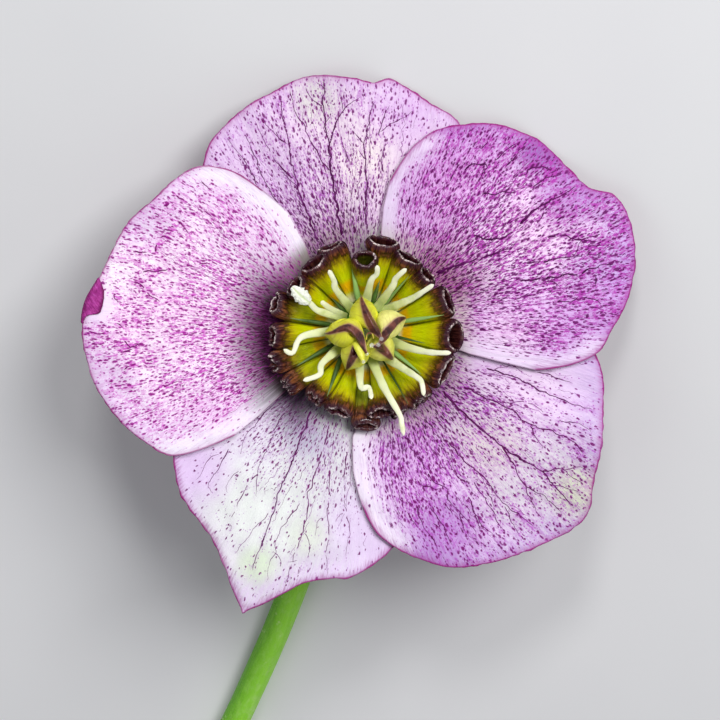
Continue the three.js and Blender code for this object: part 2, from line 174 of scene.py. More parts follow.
class Graph:
    def __init__(self, tree):
        self.tree = tree

    def add(self, kind, settings=None, sockets=None, out=0):
        node = self.tree.nodes.new(kind)
        for key, value in (settings or {}).items():
            if key == "stops":
                while len(node.color_ramp.elements) < len(value):
                    node.color_ramp.elements.new(0.5)
                for stop, (place, tone) in zip(node.color_ramp.elements, value):
                    stop.position, stop.color = place, linear(tone)
            else:
                setattr(node, key, value)
        for key, value in (sockets or {}).items():
            if isinstance(value, Wire):
                self.tree.links.new(value.socket, node.inputs[key])
            else:
                node.inputs[key].default_value = value
        return Wire(self, node, out)

    def attribute(self, name, out="Vector"):
        return self.add("ShaderNodeAttribute", {"attribute_name": name}, out=out)

    def values(self, *names):  # plain numbers kept on the mesh, for a shader
        return [self.attribute(name, "Fac") for name in names]

    def fields(self, *names):  # the same for a geometry tree
        return [self.add("GeometryNodeInputNamedAttribute", sockets={"Name": name}) for name in names]

    def store(self, shape, **values):  # numbers written on the mesh
        for name, value in values.items():
            sockets = {0: shape, "Name": name, "Value": value}
            shape = self.add("GeometryNodeStoreNamedAttribute", sockets=sockets)
        return shape

    def place(self):
        return self.add("ShaderNodeTexCoord", out="Object")

    def parts(self, vector):
        split = self.add("ShaderNodeSeparateXYZ", sockets={0: vector})
        return split, split.out("Y"), split.out("Z")

    def combine(self, x, y, z=0.0):
        return self.add("ShaderNodeCombineXYZ", sockets={0: x, 1: y, 2: z})

    def vector(self, operation, a, b=None, out=0):
        sockets = {0: a} if b is None else {0: a, 1: b}
        return self.add("ShaderNodeVectorMath", {"operation": operation}, sockets, out)

    def scaled(self, vector, amount):
        return self.add("ShaderNodeVectorMath", {"operation": "SCALE"}, {0: vector, "Scale": amount})

    def step(self, value, low, high):  # 0 below low, 1 above high, smooth between; low may be the larger
        settings = {"interpolation_type": "SMOOTHSTEP"}
        return self.add("ShaderNodeMapRange", settings, {0: value, 1: low, 2: high})

    def blend(self, amount, a, b, how="MIX"):  # colour a turning into colour b
        a, b = [c if isinstance(c, Wire) else linear(c) for c in (a, b)]
        settings = {"data_type": "RGBA", "blend_type": how}
        return self.add("ShaderNodeMix", settings, {0: amount, 6: a, 7: b}, out=2)

    def noise(self, vector, scale, detail=2.0, roughness=0.5, out="Fac"):
        sockets = {"Vector": vector, "Scale": scale, "Detail": detail, "Roughness": roughness}
        return self.add("ShaderNodeTexNoise", sockets=sockets, out=out)


def finish(name, paint, **constants):  # a material; paint gives its varying sockets
    material = bpy.data.materials.new(name)
    material.use_nodes = True
    graph = Graph(material.node_tree)
    shader = material.node_tree.nodes["Principled BSDF"]
    for key, value in constants.items():
        shader.inputs[key].default_value = value
    varying = paint(graph)
    height = varying.pop("Height", None)
    if height is not None:
        depth = varying.pop("Depth")
        bump = graph.add("ShaderNodeBump", sockets={"Height": height, "Distance": depth, "Strength": 1.0})
        varying["Normal"] = bump
    for key, wire in varying.items():
        material.node_tree.links.new(wire.socket, shader.inputs[key])
    return material


# the flower head's own place
head = {
    "tilt": 27.0,  # lean of the flower's axis from upright, towards +Y
    "seat": 4.7,  # where the sepals begin, mm from the axis
    "clawTurn": 32.0,  # half the turn that a sepal takes up at its seat
    "cupHeight": 5.4,
    "cupRadius": 33.0,
    "cupCurve": (2.2, 1.4),  # how fast the cup rises, and how it levels out
    "cupEnd": 1.15,  # share of the radius past which it stays level
    "marginStart": 0.75,  # share of the radius where the margin's ripple begins
    "layer": 0.55,  # how far a side stands over or under its neighbour
    "layerRise": 2.0,  # distance from the seat in which it gets there
    "foot": 0.3,  # height of the middle of a sepal at the seat
    "rimSteps": 240,
}

# For each sepal: flare is how its halves widen from the claw to the rim; over tells whether a side lies
# over (1) or under (-1) its neighbour, and settle where that begins and ends, in degrees; ripple is the
# margin's height, waves and phase; rim is the outline as turn and reach.
# Its tones: ground, heart in the middle, flank at the sides, margin, green and base at the foot, the spot,
# dark and wash of the flecks, and the lace of a bare side. heartShade is the dark foot's turn, spread,
# reach and depth; the dark foot, in the tone base, is partly the sepal's own dark heart and partly painted
# shade of the ring of nectaries, most of all on the left and lower left sepals. density is that of the
# flecks near and far, and sides changes it on the minus side, in the middle and on the plus side; bare is
# how wide a bare side is; fleck scales the flecks and vein the veins, which have so many twigs, strays and
# breaks; patches are tinted places, and clear is one without flecks: x and y seen face on, radius, tone and
# strength.
sepals = {
    "sepal_left": {
        "azimuth": 194.3,
        "flare": ((43, 48.3, 50, 46.8), (41, 43.5, 45, 45.2)),
        "over": (1, 1),
        "settle": ((14, 26), (14, 27)),
        "lift": 0.7,
        "ripple": (0.8, 7, 40),
        "rim": [
            (-46.8, 21.7), (-43.7, 25.5), (-38.9, 28.5), (-33, 30), (-26, 30.7), (-18.4, 32.2),
            (-12, 32.8), (-5, 33.4), (0.7, 34.6), (6, 34.9), (12, 34.6), (20, 33.7), (28.1, 31.9),
            (34.6, 30.1), (39.4, 28.4), (42.4, 25.1), (45.2, 20.6),
        ],
        "ground": (252, 238, 254), "heart": (252, 232, 250), "flank": (244, 218, 248),
        "margin": (238, 216, 248), "base": (28, 2, 6), "green": (84, 78, 34),
        "heartShade": (13, 56, 18.8, 1.0), "spot": (146, 4, 130), "dark": (84, 0, 72),
        "wash": (208, 88, 198), "lace": (248, 240, 254), "density": (1.46, 0.84),
        "sides": (0.88, 1.0, 1.0), "bare": (2.6, 2.6), "stain": 0.8, "round": 0.35, "fleck": 0.84,
        "fringe": 0.3, "vein": 1.15, "twigs": 0.03, "strays": 40, "breaks": 0.1,
        "patches": [
            (-30, 8, 3.5, (255, 246, 255), 0.8), (-27, 15, 4, (232, 208, 240), 0.6),
            (-33, -6, 4, (236, 208, 244), 0.6), (-17, -12, 4, (240, 200, 238), 0.5),
        ],
        "clear": (-33.4, 3.4, 1.5),
    },
    "sepal_top": {
        "azimuth": 122.3,
        "flare": ((41, 44, 44.5, 42), (41, 44, 44.5, 42)),
        "over": (-1, -1),
        "settle": ((7, 18), (10, 21)),
        "lift": 0.4,
        "ripple": (0.9, 11, 200),
        "rim": [
            (-42, 21), (-40, 25), (-36.5, 27.6), (-32.6, 28.8), (-27, 29.3), (-22, 30.3), (-16.4, 31.4),
            (-12.6, 30.8), (-7, 31.4), (2, 32.4), (10, 31.8), (18, 31.4), (26.5, 30.6), (31.5, 29.4),
            (36, 27.6), (40, 25), (42, 21),
        ],
        "ground": (240, 216, 242), "heart": (240, 222, 236), "flank": (236, 210, 244),
        "margin": (220, 188, 232), "base": (136, 88, 108), "green": (172, 178, 156),
        "heartShade": (14, 32, 17.5, 0.4), "spot": (114, 6, 104), "dark": (58, 0, 54),
        "wash": (180, 98, 190), "lace": (240, 226, 244), "density": (1.26, 0.44),
        "sides": (0.55, 1.3, 0.85), "bare": (0.0, 0.0), "stain": 0.62, "round": 0.5, "fleck": 0.9,
        "fringe": 0.45, "vein": 0.85, "twigs": 0.05, "strays": 34, "breaks": 0.02,
        "patches": [
            (5.4, 15.4, 4.5, (254, 226, 252), 0.85), (0.2, 21, 3.5, (250, 238, 236), 0.8),
            (-6, 28.5, 3, (218, 224, 206), 0.6), (-12, 20, 6, (226, 196, 236), 0.6),
            (5, 27, 4, (228, 192, 238), 0.6),
        ],
    },
    "sepal_upper_right": {
        "azimuth": 51.3,
        "flare": ((39, 42, 42.6, 42.7), (45, 51.3, 52.2, 51)),
        "over": (1, 1),
        "settle": ((14, 25), (17, 26)),
        "lift": 0.2,
        "ripple": (0.9, 8, 150),
        "rim": [
            (-42.7, 21.4), (-39.2, 25.5), (-34.9, 28.7), (-29.1, 30.4), (-23, 32.5), (-16, 34.2),
            (-10, 35), (-4.8, 35.3), (-0.9, 34.8), (2.6, 32.8), (5.5, 32.4), (16.3, 32), (22.4, 31.2),
            (29.2, 29.9), (36.2, 27.8), (41.1, 26.2), (46.4, 23.1), (51, 19),
        ],
        "ground": (243, 208, 253), "heart": (252, 230, 255), "flank": (230, 186, 244),
        "margin": (164, 112, 196), "base": (134, 34, 84), "green": (210, 200, 186),
        "heartShade": (6, 28, 19.0, 0.5), "spot": (102, 0, 96), "dark": (46, 0, 44),
        "wash": (178, 64, 174), "lace": (240, 222, 248), "density": (1.52, 1.0),
        "sides": (0.95, 1.06, 0.95), "bare": (2.4, 2.2), "stain": 1.0, "round": 0.3, "fleck": 0.95,
        "fringe": 0.6, "vein": 1.05, "twigs": 0.08, "strays": 60, "breaks": 0.05,
        "patches": [
            (22, 13.5, 5, (254, 224, 254), 0.85), (8, 18, 7, (224, 164, 228), 0.5),
            (30, 8, 5, (204, 168, 232), 0.7), (17, -2, 5, (254, 222, 250), 0.6),
            (16, 22, 4, (212, 166, 224), 0.5), (27, 2, 5, (204, 156, 222), 0.6),
            (25, 17, 4.5, (184, 134, 208), 0.75), (22, 22.5, 3.5, (146, 92, 172), 0.8),
        ],
    },
    "sepal_lower_right": {
        "azimuth": -18.7,
        "flare": ((50, 57.4, 55.3, 51.3), (41, 44, 44, 42)),
        "over": (1, -1),
        "settle": ((16, 30), (14, 26)),
        "lift": 0.3,
        "ripple": (0.9, 8, 300),
        "rim": [
            (-51.3, 21.4), (-47.4, 24.5), (-42, 26.9), (-35.5, 29.1), (-29.3, 31), (-21.7, 32.3),
            (-15.1, 33.3), (-9.7, 34.2), (-3.2, 35.4), (1.5, 35.3), (6.8, 33.6), (13.2, 32.4),
            (19.6, 31.2), (28.6, 29.9), (34.5, 28.4), (39, 26), (42, 22),
        ],
        "ground": (230, 202, 238), "heart": (220, 212, 222), "flank": (234, 208, 244),
        "margin": (194, 166, 216), "base": (150, 84, 124), "green": (200, 196, 184),
        "heartShade": (-5, 34, 17.5, 0.35), "spot": (116, 2, 104), "dark": (64, 0, 58),
        "wash": (178, 84, 188), "lace": (246, 236, 250), "density": (1.3, 0.42),
        "sides": (1.75, 1.1, 0.16), "bare": (3.0, 0.0), "stain": 0.85, "round": 0.6, "fleck": 0.9,
        "fringe": 0.6, "vein": 0.78, "twigs": 0.03, "strays": 40, "breaks": 0.02,
        "patches": [
            (5, -17, 6.5, (222, 170, 230), 0.6), (22, -8, 5, (234, 212, 244), 0.7),
            (15, -14, 4.5, (220, 206, 206), 0.7), (26, -19.5, 3.2, (214, 226, 186), 0.75),
            (9, -25, 5, (186, 138, 208), 0.85), (19, -7.5, 5, (242, 218, 242), 0.6),
        ],
    },
    "sepal_lower_left": {
        "azimuth": 266.3,
        "flare": ((41, 44, 44.5, 43), (41, 43.5, 43.5, 41)),
        "over": (-1, -1),
        "settle": ((14, 26), (5, 16)),
        "lift": -0.3,
        "ripple": (0.7, 9, 90),
        "rim": [
            (-43, 21), (-40.5, 24.8), (-36, 27.2), (-32, 28.4), (-25, 30.2), (-19.7, 30.9), (-12.5, 31.7),
            (-7.3, 33.3), (-3.3, 35.3), (0.3, 37.25), (1.3, 38.05), (2.1, 37.25), (4.1, 36.0),
            (6.9, 34.2), (11.3, 31.9), (16.7, 30.8), (21.3, 30.4), (26, 29), (31, 27.3), (36, 24.8),
            (41, 19.5),
        ],
        "ground": (234, 229, 241), "heart": (224, 226, 226), "flank": (238, 214, 248),
        "margin": (232, 206, 244), "base": (46, 30, 46), "green": (172, 180, 168),
        "heartShade": (-32, 36, 17.6, 0.95), "spot": (116, 10, 100), "dark": (78, 6, 78),
        "wash": (192, 148, 204), "lace": (246, 240, 250), "density": (1.32, 0.13),
        "sides": (0.75, 1.35, 0.7), "bare": (0.0, 0.0), "stain": 0.55, "round": 0.45, "fleck": 0.74,
        "fringe": 0.6, "vein": 0.66, "twigs": 0.016, "strays": 12, "breaks": 0.06,
        "patches": [
            (-14, -22, 7, (236, 240, 236), 0.85), (-13.4, -28.6, 2.2, (214, 234, 196), 0.7),
            (-21, -17, 4, (230, 198, 244), 0.7), (-1, -24, 4.5, (232, 205, 246), 0.6),
            (1.4, -14.5, 3.5, (252, 236, 254), 0.75), (-7, -12, 3.5, (186, 184, 208), 0.7),
            (-7, -25, 2.5, (226, 236, 214), 0.6),
        ],
    },
}


def cupRise(reach):
    share = np.minimum((reach - head["seat"]) / (head["cupRadius"] - head["seat"]), head["cupEnd"])
    rise, fall = head["cupCurve"]
    return head["cupHeight"] * (rise * share - fall * share**2)


def sepalHeight(sepal, own, reach):  # the middle of the sepal's thickness
    minus, plus = sepal["settle"]
    edge = np.where(own < 0, smoothStep(-own, *minus), smoothStep(own, *plus))
    over = np.where(own < 0, *sepal["over"])
    layered = over * edge * smoothStep(reach, head["seat"], head["seat"] + head["layerRise"])
    outer = smoothStep(reach, head["seat"], head["cupRadius"])
    margin = smoothStep(reach, head["marginStart"] * head["cupRadius"], head["cupRadius"])
    height, waves, phase = sepal["ripple"]
    wave = np.sin(np.radians(waves * own + phase))
    middle = (1 - edge) * (sepal["lift"] * outer + height * margin * wave)
    return head["foot"] + cupRise(reach) + head["layer"] * layered + middle


def rimLine(sepal, count):  # even points on the outline's outer part, as turn and reach
    rows = np.array(sepal["rim"], float)
    line = throughPoints(planPoint(rows[:, 0], rows[:, 1]), count)
    return np.degrees(np.arctan2(line[:, 1], line[:, 0])), np.hypot(line[:, 0], line[:, 1])


def onSepal(sepal, turn, share):  # own turn, reach and height at a turn of the rim and a share of the length
    rimTurn, rimReach = sepal["line"]
    reach = head["seat"] + (np.interp(turn, rimTurn, rimReach) - head["seat"]) * share
    own = np.zeros(np.broadcast(turn, share).shape)
    for flare, chosen in zip(sepal["flare"], (turn < 0, turn >= 0)):
        widths = np.array([head["clawTurn"], *flare]) / flare[-1]
        narrowing = np.interp(share, np.linspace(0, 1, len(widths)), widths)
        own = np.where(chosen, turn * narrowing, own)
    return own, reach, sepalHeight(sepal, own, reach)


def inHead(own, reach, height, azimuth):
    place = planPoint(own + azimuth, reach)
    return np.concatenate([place, np.asarray(height)[..., None]], axis=-1)


def facePlace(x, y, azimuth=0.0):  # a place seen face on, in the plan of the head or of a sepal
    turn = math.radians(view["upward"] - 90 - azimuth)
    return x * math.cos(turn) - y * math.sin(turn), x * math.sin(turn) + y * math.cos(turn)


tilt = np.radians(head["tilt"])
leaning = np.array(Matrix.Rotation(-tilt, 3, "X"))


def headPlace():  # the head's origin in the part, mm, from where the sepals' solids lie
    found = []
    for name, sepal in sepals.items():
        sepal["line"] = rimLine(sepal, head["rimSteps"])
        turns = rimLine(sepal, 24)[0][:, None]
        own, reach, height = onSepal(sepal, turns, np.linspace(0, 1, 9)[None, :])
        points = inHead(own, reach, height, sepal["azimuth"]).reshape(-1, 3) @ leaning.T
        low, high = (np.array(corner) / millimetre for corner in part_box(name))
        found.append((low + high) / 2 - (points.min(0) + points.max(0)) / 2)
    return np.mean(found, axis=0)


headOrigin = headPlace()
headMatrix = (
    Matrix.Translation(Vector(headOrigin) * millimetre)
    @ Matrix.Rotation(-tilt, 4, "X")
    @ Matrix.Scale(millimetre, 4)
)
headTurn = headMatrix.to_3x3().normalized()
print("hellebore: the head stands at", [round(float(c), 2) for c in headOrigin], "mm")


def keep(name, mesh, materials, node=None):  # a finished piece, placed in the part
    piece = bpy.data.objects.new(name, mesh)
    scene.collection.objects.link(piece)
    mesh.transform(headMatrix)
    mesh.materials.clear()
    for material in materials:
        mesh.materials.append(material)
    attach(piece, "root")
    if node:
        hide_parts(node)
    return piece


def meshOf(name, points, faces=(), edges=(), smooth=True, **attributes):
    mesh = bpy.data.meshes.new(name)
    mesh.from_pydata([tuple(p) for p in points], edges, faces)
    for key, values in attributes.items():
        values = np.asarray(values, np.float32)
        kind, field = ("FLOAT_VECTOR", "vector") if values.ndim == 2 else ("FLOAT", "value")
        mesh.attributes.new(key, kind, "POINT").data.foreach_set(field, values.ravel())
    mesh.polygons.foreach_set("use_smooth", [smooth] * len(mesh.polygons))
    mesh.update()
    return mesh


# camera, light and floor
view = {
    "distance": 354.2,  # mm from the head's origin along the flower's axis
    "lens": 141.7,
    "upward": 111.3,  # azimuth in the head that is up in the view
    "frame": 720,
    "middle": (366, 332),  # where the flower's axis meets the frame, in pixels
}
lamps = [  # name, azimuth in the view, height above its plane, distance, size, watts
    ("key", 30, 66, 620, 260, 2.5),
    ("fill", 205, 46, 700, 500, 0.3),
    ("top", 95, 66, 640, 120, 1.05),
]
studio = {
    "sky": (0.93, 0.95, 1.0, 1.0),
    "strength": 0.27,
    "floor": 1.5,  # half a side, in metres
    "paper": ((226, 226, 228), (232, 232, 233)),
    "grain": 40.0,
}


def makeCamera():
    data = bpy.data.cameras.new("camera")
    data.lens = view["lens"]
    x, y = view["middle"]
    data.shift_x = (view["frame"] / 2 - x) / view["frame"]
    data.shift_y = (y - view["frame"] / 2) / view["frame"]
    camera = bpy.data.objects.new("camera", data)
    scene.collection.objects.link(camera)
    back = headTurn @ Vector((0, 0, 1))
    up = headTurn @ Vector((*planPoint(view["upward"], 1.0), 0))
    pose = Matrix((up.cross(back), up, back)).transposed().to_4x4()
    pose.translation = headMatrix @ Vector((0, 0, view["distance"]))
    camera.matrix_world = pose
    scene.camera = camera


def makeLight():
    for name, azimuth, height, distance, size, watts in lamps:
        data = bpy.data.lights.new(name, "AREA")
        data.shape, data.size, data.energy = "DISK", size * millimetre, watts
        lamp = bpy.data.objects.new(name, data)
        flat = planPoint(azimuth + view["upward"] - 90, math.cos(math.radians(height)))
        away = headTurn @ Vector((*flat, math.sin(math.radians(height))))
        lamp.location = headMatrix.translation + away * distance * millimetre
        lamp.rotation_euler = away.to_track_quat("Z", "Y").to_euler()
        scene.collection.objects.link(lamp)
    world = bpy.data.worlds.new("studio")
    world.use_nodes = True
    sky = world.node_tree.nodes["Background"].inputs
    sky["Color"].default_value, sky["Strength"].default_value = studio["sky"], studio["strength"]
    scene.world = world
    scene.view_settings.view_transform = "Standard"


def makeFloor():
    side = studio["floor"]
    corners = [(-side, -side, 0), (side, -side, 0), (side, side, 0), (-side, side, 0)]
    mesh = meshOf("floor", corners, [(0, 1, 2, 3)], smooth=False)
    mesh.materials.append(finish("pale paper", lambda g: {
        "Base Color": g.blend(g.noise(g.place(), studio["grain"]), *studio["paper"]),
    }, Roughness=0.85))
    floor = bpy.data.objects.new("floor", mesh)
    scene.collection.objects.link(floor)


makeCamera()
makeLight()
makeFloor()
print("hellebore: camera, lights and floor")


# veins
# width in hundredths of a mm, then x and y of its points, the flower seen face on
veinCourses = {
    "sepal_top": [
        (10, (-3.1, 12.1), (-3.7, 15.4), (-4.3, 19.7), (-4.5, 22.9), (-5, 25.6), (-5.3, 28.3),
         (-5.2, 30.1), (-4.9, 31.1)),
        (6, (-4.5, 23.1), (-3.9, 25.2), (-2.7, 27.4), (-0.8, 29)), (4, (-2.8, 27.4), (-3, 29.3)),
        (4, (-5.2, 30.1), (-6.1, 30.8)), (5, (-5.4, 27.6), (-6.6, 28.7), (-7.5, 30.1)),
        (8, (-5.8, 11.3), (-7.2, 14.5), (-8.4, 18), (-9, 20.5), (-9.6, 23.3), (-9.8, 25.2), (-10.3, 27.2),
         (-10.5, 28.9)),
        (5, (-9.6, 23.3), (-11.1, 24.2), (-12.3, 25.8), (-12.7, 26.4)),
        (6, (-4.3, 19.9), (-5.3, 20.9), (-6.2, 22.5), (-7.2, 24.2), (-8, 26), (-9, 28.3), (-9.3, 29.7)),
        (7, (0, 12.7), (-0.1, 16), (0, 19.2), (-0.3, 22.5), (0.2, 25.2), (0.7, 27.4), (1, 28.5)),
        (4, (-0.4, 23.3), (-1.7, 24.8)), (5, (2.2, 19.7), (2, 21.6), (2.7, 23.4)),
        (5, (1.4, 24.2), (2, 26.2), (2.8, 28)), (4, (1.6, 24.8), (4.1, 26.2), (5.9, 27.2)),
        (5, (-9, 18.8), (-10.7, 20.7), (-11.5, 21.9), (-12.7, 24), (-13.7, 26.2)),
        (5, (-10.7, 15.4), (-12.7, 19), (-13.5, 21.3), (-15, 24.4)),
        (4, (-13.3, 18), (-15, 21.2), (-17, 24)), (4, (-2.1, 20.9), (-2.5, 22.3), (-3.1, 23.1)),
        (4, (-8.2, 17.6), (-9.4, 19), (-10.3, 19.9)),
    ],
    "sepal_upper_right": [
        (9, (8.5, 7.3), (12.4, 8.6), (16.1, 9.8), (18.5, 10.4)),
        (7, (13.2, 12), (15, 11.5), (16.3, 11.5), (17.9, 12.3)),
        (5, (14.4, 17), (16.1, 17.1), (18.5, 17.3)),
        (6, (12.2, 20), (13.2, 20.7), (14.4, 20.7), (14.8, 20.2), (14.2, 19.4), (13.8, 18.6)),
        (5, (10.3, 18.6), (11.6, 21.3)), (5, (14, 22.5), (15, 23.2)),
        (5, (15.9, 21.1), (17.3, 22.4), (18.7, 23.3)), (5, (17.1, 20.4), (19.1, 22.5)),
        (6, (19.7, 19.4), (20.2, 20), (22, 20.3), (23, 20)), (5, (20.6, 17.8), (22, 18.8), (23.6, 19.2)),
        (7, (19, 13.3), (20.4, 14.7), (21.6, 15.6), (23.8, 16.6), (25.9, 18)),
        (5, (21.4, 13.9), (22.2, 14.9), (23, 14.9)), (5, (23.4, 13.7), (25.7, 14.5), (25.9, 15.1)),
        (6, (22.4, 11.6), (24.3, 11.9), (25.9, 11.5), (27.7, 11.6), (29.2, 12.5)),
        (6, (19.7, 8.6), (22.2, 8.8), (25.1, 9.3), (27.1, 9.4), (29, 9.9)),
        (6, (22.2, 6.5), (24.3, 7), (26.3, 7.1), (27.1, 7.7), (30.4, 8.4)),
        (7, (18.9, 6.3), (21.4, 6.5), (22.8, 6.2), (23.8, 5.7)), (5, (28.1, 6.9), (28.3, 5.7)),
        (5, (26.3, 4.2), (28.1, 3.9), (29, 3.4)), (5, (23.2, 3.7), (25.5, 3.7), (26.3, 4.3)),
        (4, (27.9, 3), (29.2, 2.7)), (5, (18.3, 4.1), (20.2, 4.5)),
    ],
    "sepal_lower_right": [
        (11, (9.5, -7.3), (12.4, -10.4), (15.6, -13.1), (18.3, -15.1), (21.6, -17.2), (23.4, -19.2),
         (25.8, -21.5)),
        (6, (21.6, -17.1), (24.4, -17), (26.6, -18.7)), (4, (24.4, -17), (26.2, -16.6), (27.5, -17.1)),
        (5, (23.4, -18.8), (26.2, -19.8)),
        (7, (16.7, -14), (18, -16.1), (19.5, -19), (20.6, -21.5), (21.6, -23.1)),
        (5, (19.5, -19), (21.6, -19.9), (24.2, -22.4)),
        (8, (12.2, -6.7), (15, -8.2), (17.5, -9.4), (20.3, -11.4), (22.6, -12.2), (25.6, -13.5),
         (26.7, -15)),
        (6, (20.3, -11.4), (21.2, -13.3), (21.9, -14.5)),
        (7, (15, -4.5), (18.5, -5.7), (21.6, -7.3), (24.6, -8.6), (27.8, -9.6)),
        (5, (16.5, -8.6), (20.5, -8.9), (21.8, -9.9)), (4, (23.6, -11), (26.1, -11.1), (27.7, -12.4)),
        (7, (10.3, -13.7), (12.4, -16.1), (15, -18.4), (17.1, -21.3), (20.4, -23.9)),
        (5, (17.1, -21.3), (18.8, -25.2)), (6, (13.2, -18.4), (15, -21.3), (17.2, -24.9)),
        (5, (6.8, -15.7), (8.3, -18.4), (9.9, -19.2), (10.3, -20.9), (11.3, -21.9), (12.8, -23.7),
         (13.8, -26.2)),
        (6, (8.3, -23.4), (8.9, -24.2), (9.4, -24.6)), (6, (7.1, -18.8), (8.3, -19.3), (9.6, -19.2)),
        (5, (9.7, -20.9), (10.7, -22.6)), (6, (8.1, -25.1), (8.8, -26.9)),
        (6, (11.6, -21.9), (12.3, -24.8)), (5, (12.6, -20.4), (13.5, -22.8), (14.2, -24.6)),
        (5, (5.4, -14.1), (7.8, -17.2)), (5, (4, -19.6), (4.7, -22)),
        (5, (10, -15.8), (11.2, -17.9), (12.9, -18.8)), (5, (14.8, -19.4), (15.9, -21.6)),
        (6, (7.9, -21.5), (9.1, -23.3), (10.5, -26.1)), (6, (6.2, -21.5), (7, -23.7), (8, -25.6)),
        (5, (5.1, -22.1), (6.4, -24.3)), (5, (13, -21.5), (14.4, -23.9), (16, -25.4)),
        (5, (21.2, -4.9), (25.5, -6.3)),
    ],
    "sepal_lower_left": [
        (10, (-6.8, -9.8), (-7.9, -12.5), (-9, -15.6), (-10.1, -18.5), (-11.5, -22.1), (-12.2, -24.3),
         (-13.2, -27), (-13.9, -29.5)),
        (7, (-4.5, -11.6), (-5.4, -14.5), (-6.5, -18.3), (-7.3, -20.5), (-7.4, -22.8), (-8, -25),
         (-8.8, -27.4), (-9.4, -29.2), (-10, -31)),
        (4, (-7.6, -24.7), (-7, -26.6), (-7.4, -28.6)), (4, (-8.6, -28.1), (-9.9, -28.5)),
        (6, (-5.2, -15.6), (-4.7, -17.4), (-4.5, -19.9), (-4.8, -22.5), (-4.5, -25), (-4.9, -27.4),
         (-4.6, -29.7)),
        (4, (-4.9, -22.8), (-6.1, -23.7), (-6.3, -25.7)),
        (5, (-2.5, -14.7), (-2.6, -17.4), (-2.5, -21.9), (-2, -24.3), (-2.4, -26.5), (-2.6, -27.7)),
        (4, (-2.5, -22.1), (-3.6, -23), (-3.8, -23.6)),
        (5, (-10.4, -10.2), (-11.5, -12.5), (-12.6, -15.2), (-13.5, -18.3), (-13.5, -20.5)),
        (5, (-13.5, -17.4), (-14.8, -19.2), (-16.2, -22.1), (-16.7, -24.5)),
        (5, (-10.8, -8.2), (-14.4, -12.2), (-15.1, -13.2), (-15.6, -15.2)),
        (5, (-17.1, -14.5), (-18.3, -16.9), (-19.5, -19), (-18.9, -19.9)),
        (4, (-15.5, -17.2), (-17, -18.5), (-17, -19.9)),
        (4, (-18.2, -15.1), (-19.7, -16.1), (-20.8, -18.3)),
        (4, (-8.1, -21.2), (-9.5, -23), (-11.2, -25.7), (-11.3, -27.2), (-11.9, -28.6), (-12.2, -30.8)),
        (4, (-11.3, -27), (-10.5, -28.3), (-10.9, -30.3)),
        (4, (-11.9, -22.5), (-14.1, -24.7), (-16.2, -27.4)),
    ],
    "sepal_left": [
        (5, (-20.1, 18.6), (-18.8, 17.2)), (5, (-23.4, 16.7), (-22.3, 16.1)),
        (5, (-25, 15.4), (-24.1, 15.6), (-23, 15.1)), (5, (-19.9, 15), (-18.8, 14.1)),
        (6, (-23.2, 13.6), (-21.7, 12.3)), (5, (-25, 12.6), (-23.5, 12.4)),
        (5, (-28.4, 9.9), (-27.3, 9.6), (-26.8, 9.8)),
        (6, (-25.9, 9.9), (-25.9, 10.7), (-25.4, 11.6), (-24.4, 11.7)),
        (6, (-27.5, 7.3), (-26.8, 7.6), (-25.7, 7.5), (-24.4, 7.6)),
        (5, (-28.6, 6.3), (-27.3, 5.4), (-26.3, 4.5), (-25.3, 3.8)), (5, (-31.1, 4.7), (-30.4, 3.7)),
        (5, (-34, 0.3), (-33, 0), (-31.1, 0)), (5, (-30.6, 1.1), (-29.9, 0.4)),
        (5, (-29.9, -1.1), (-29, -1.8), (-27.5, -1.3)), (5, (-29.9, -2.6), (-28.6, -2)),
        (5, (-31, -6.7), (-29.5, -6.4)), (6, (-26.3, -7.4), (-24.4, -6.7), (-22.8, -6)),
        (5, (-29.7, -4.4), (-29, -4.1)), (5, (-27.2, -3.6), (-26.1, -3.6)), (6, (-20.5, 8.3), (-19, 8.7)),
        (5, (-25.9, 14.6), (-25.3, 14.3)),
    ],
}
veinRules = {
    "seed": 4,
    "steps": 80,
    "pace": 0.3,  # distance between points
    "wobble": 0.09,
    "half": 0.017,  # half-width in mm for each hundredth of the width
    "taper": (1.12, 0.5),
    "turn": (22, 48),  # a twig's angle to its vein
    "twig": (0.7, 2.8),  # its length
    "twigTaper": (0.7, 0.3),
    "curl": 0.03,
    "halo": 0.5,  # how far flecks gather round a vein
    "haloHalf": 0.12,  # the half-width that gives a full halo
    "sink": 0.45,  # share of the half-width that lies in the blade
    "clear": 0.35,  # distance kept from the rim
    "bead": 0.55,
    "ends": (0.4, 0.3),
    "patchy": 900.0,
}
strayRules = {
    "inset": 6,  # degrees kept from the sides
    "start": (0.25, 0.7),
    "length": (0.08, 0.4),
    "end": 0.93,
    "steps": 24,
    "sway": 0.28,
    "half": (0.024, 0.042),
    "taper": (1, 0.6),
    "tint": (1.2, 2),
}


def veinPoints(sepal, places, draw):  # a course seen face on, as points in the sepal's own plan
    steps = veinRules["steps"]
    line = throughPoints([facePlace(x, y, sepal["azimuth"]) for x, y in places], steps)
    count = max(int(np.linalg.norm(np.diff(line, axis=0), axis=1).sum() / veinRules["pace"]), 4)
    line = line[np.linspace(0, steps, count + 1).astype(int)]
    noise = np.array([[draw.gauss(0, 1) for _ in line] for _ in range(2)]).T * veinRules["wobble"]
    noise[1:-1] = (noise[:-2] + noise[1:-1] + noise[2:]) / 2
    return line + noise


def twig(line, at, length, side, draw):  # a short side branch that curls back towards its vein
    heading = line[min(at + 1, len(line) - 1)] - line[max(at - 1, 0)]
    angle = math.atan2(heading[1], heading[0]) + side * math.radians(draw.uniform(*veinRules["turn"]))
    points = [line[at]]
    for _ in range(max(int(length / veinRules["pace"]), 3)):
        angle += draw.gauss(-side * veinRules["curl"], 0.12)
        points.append(points[-1] + veinRules["pace"] * np.array([math.cos(angle), math.sin(angle)]))
    return np.array(points)


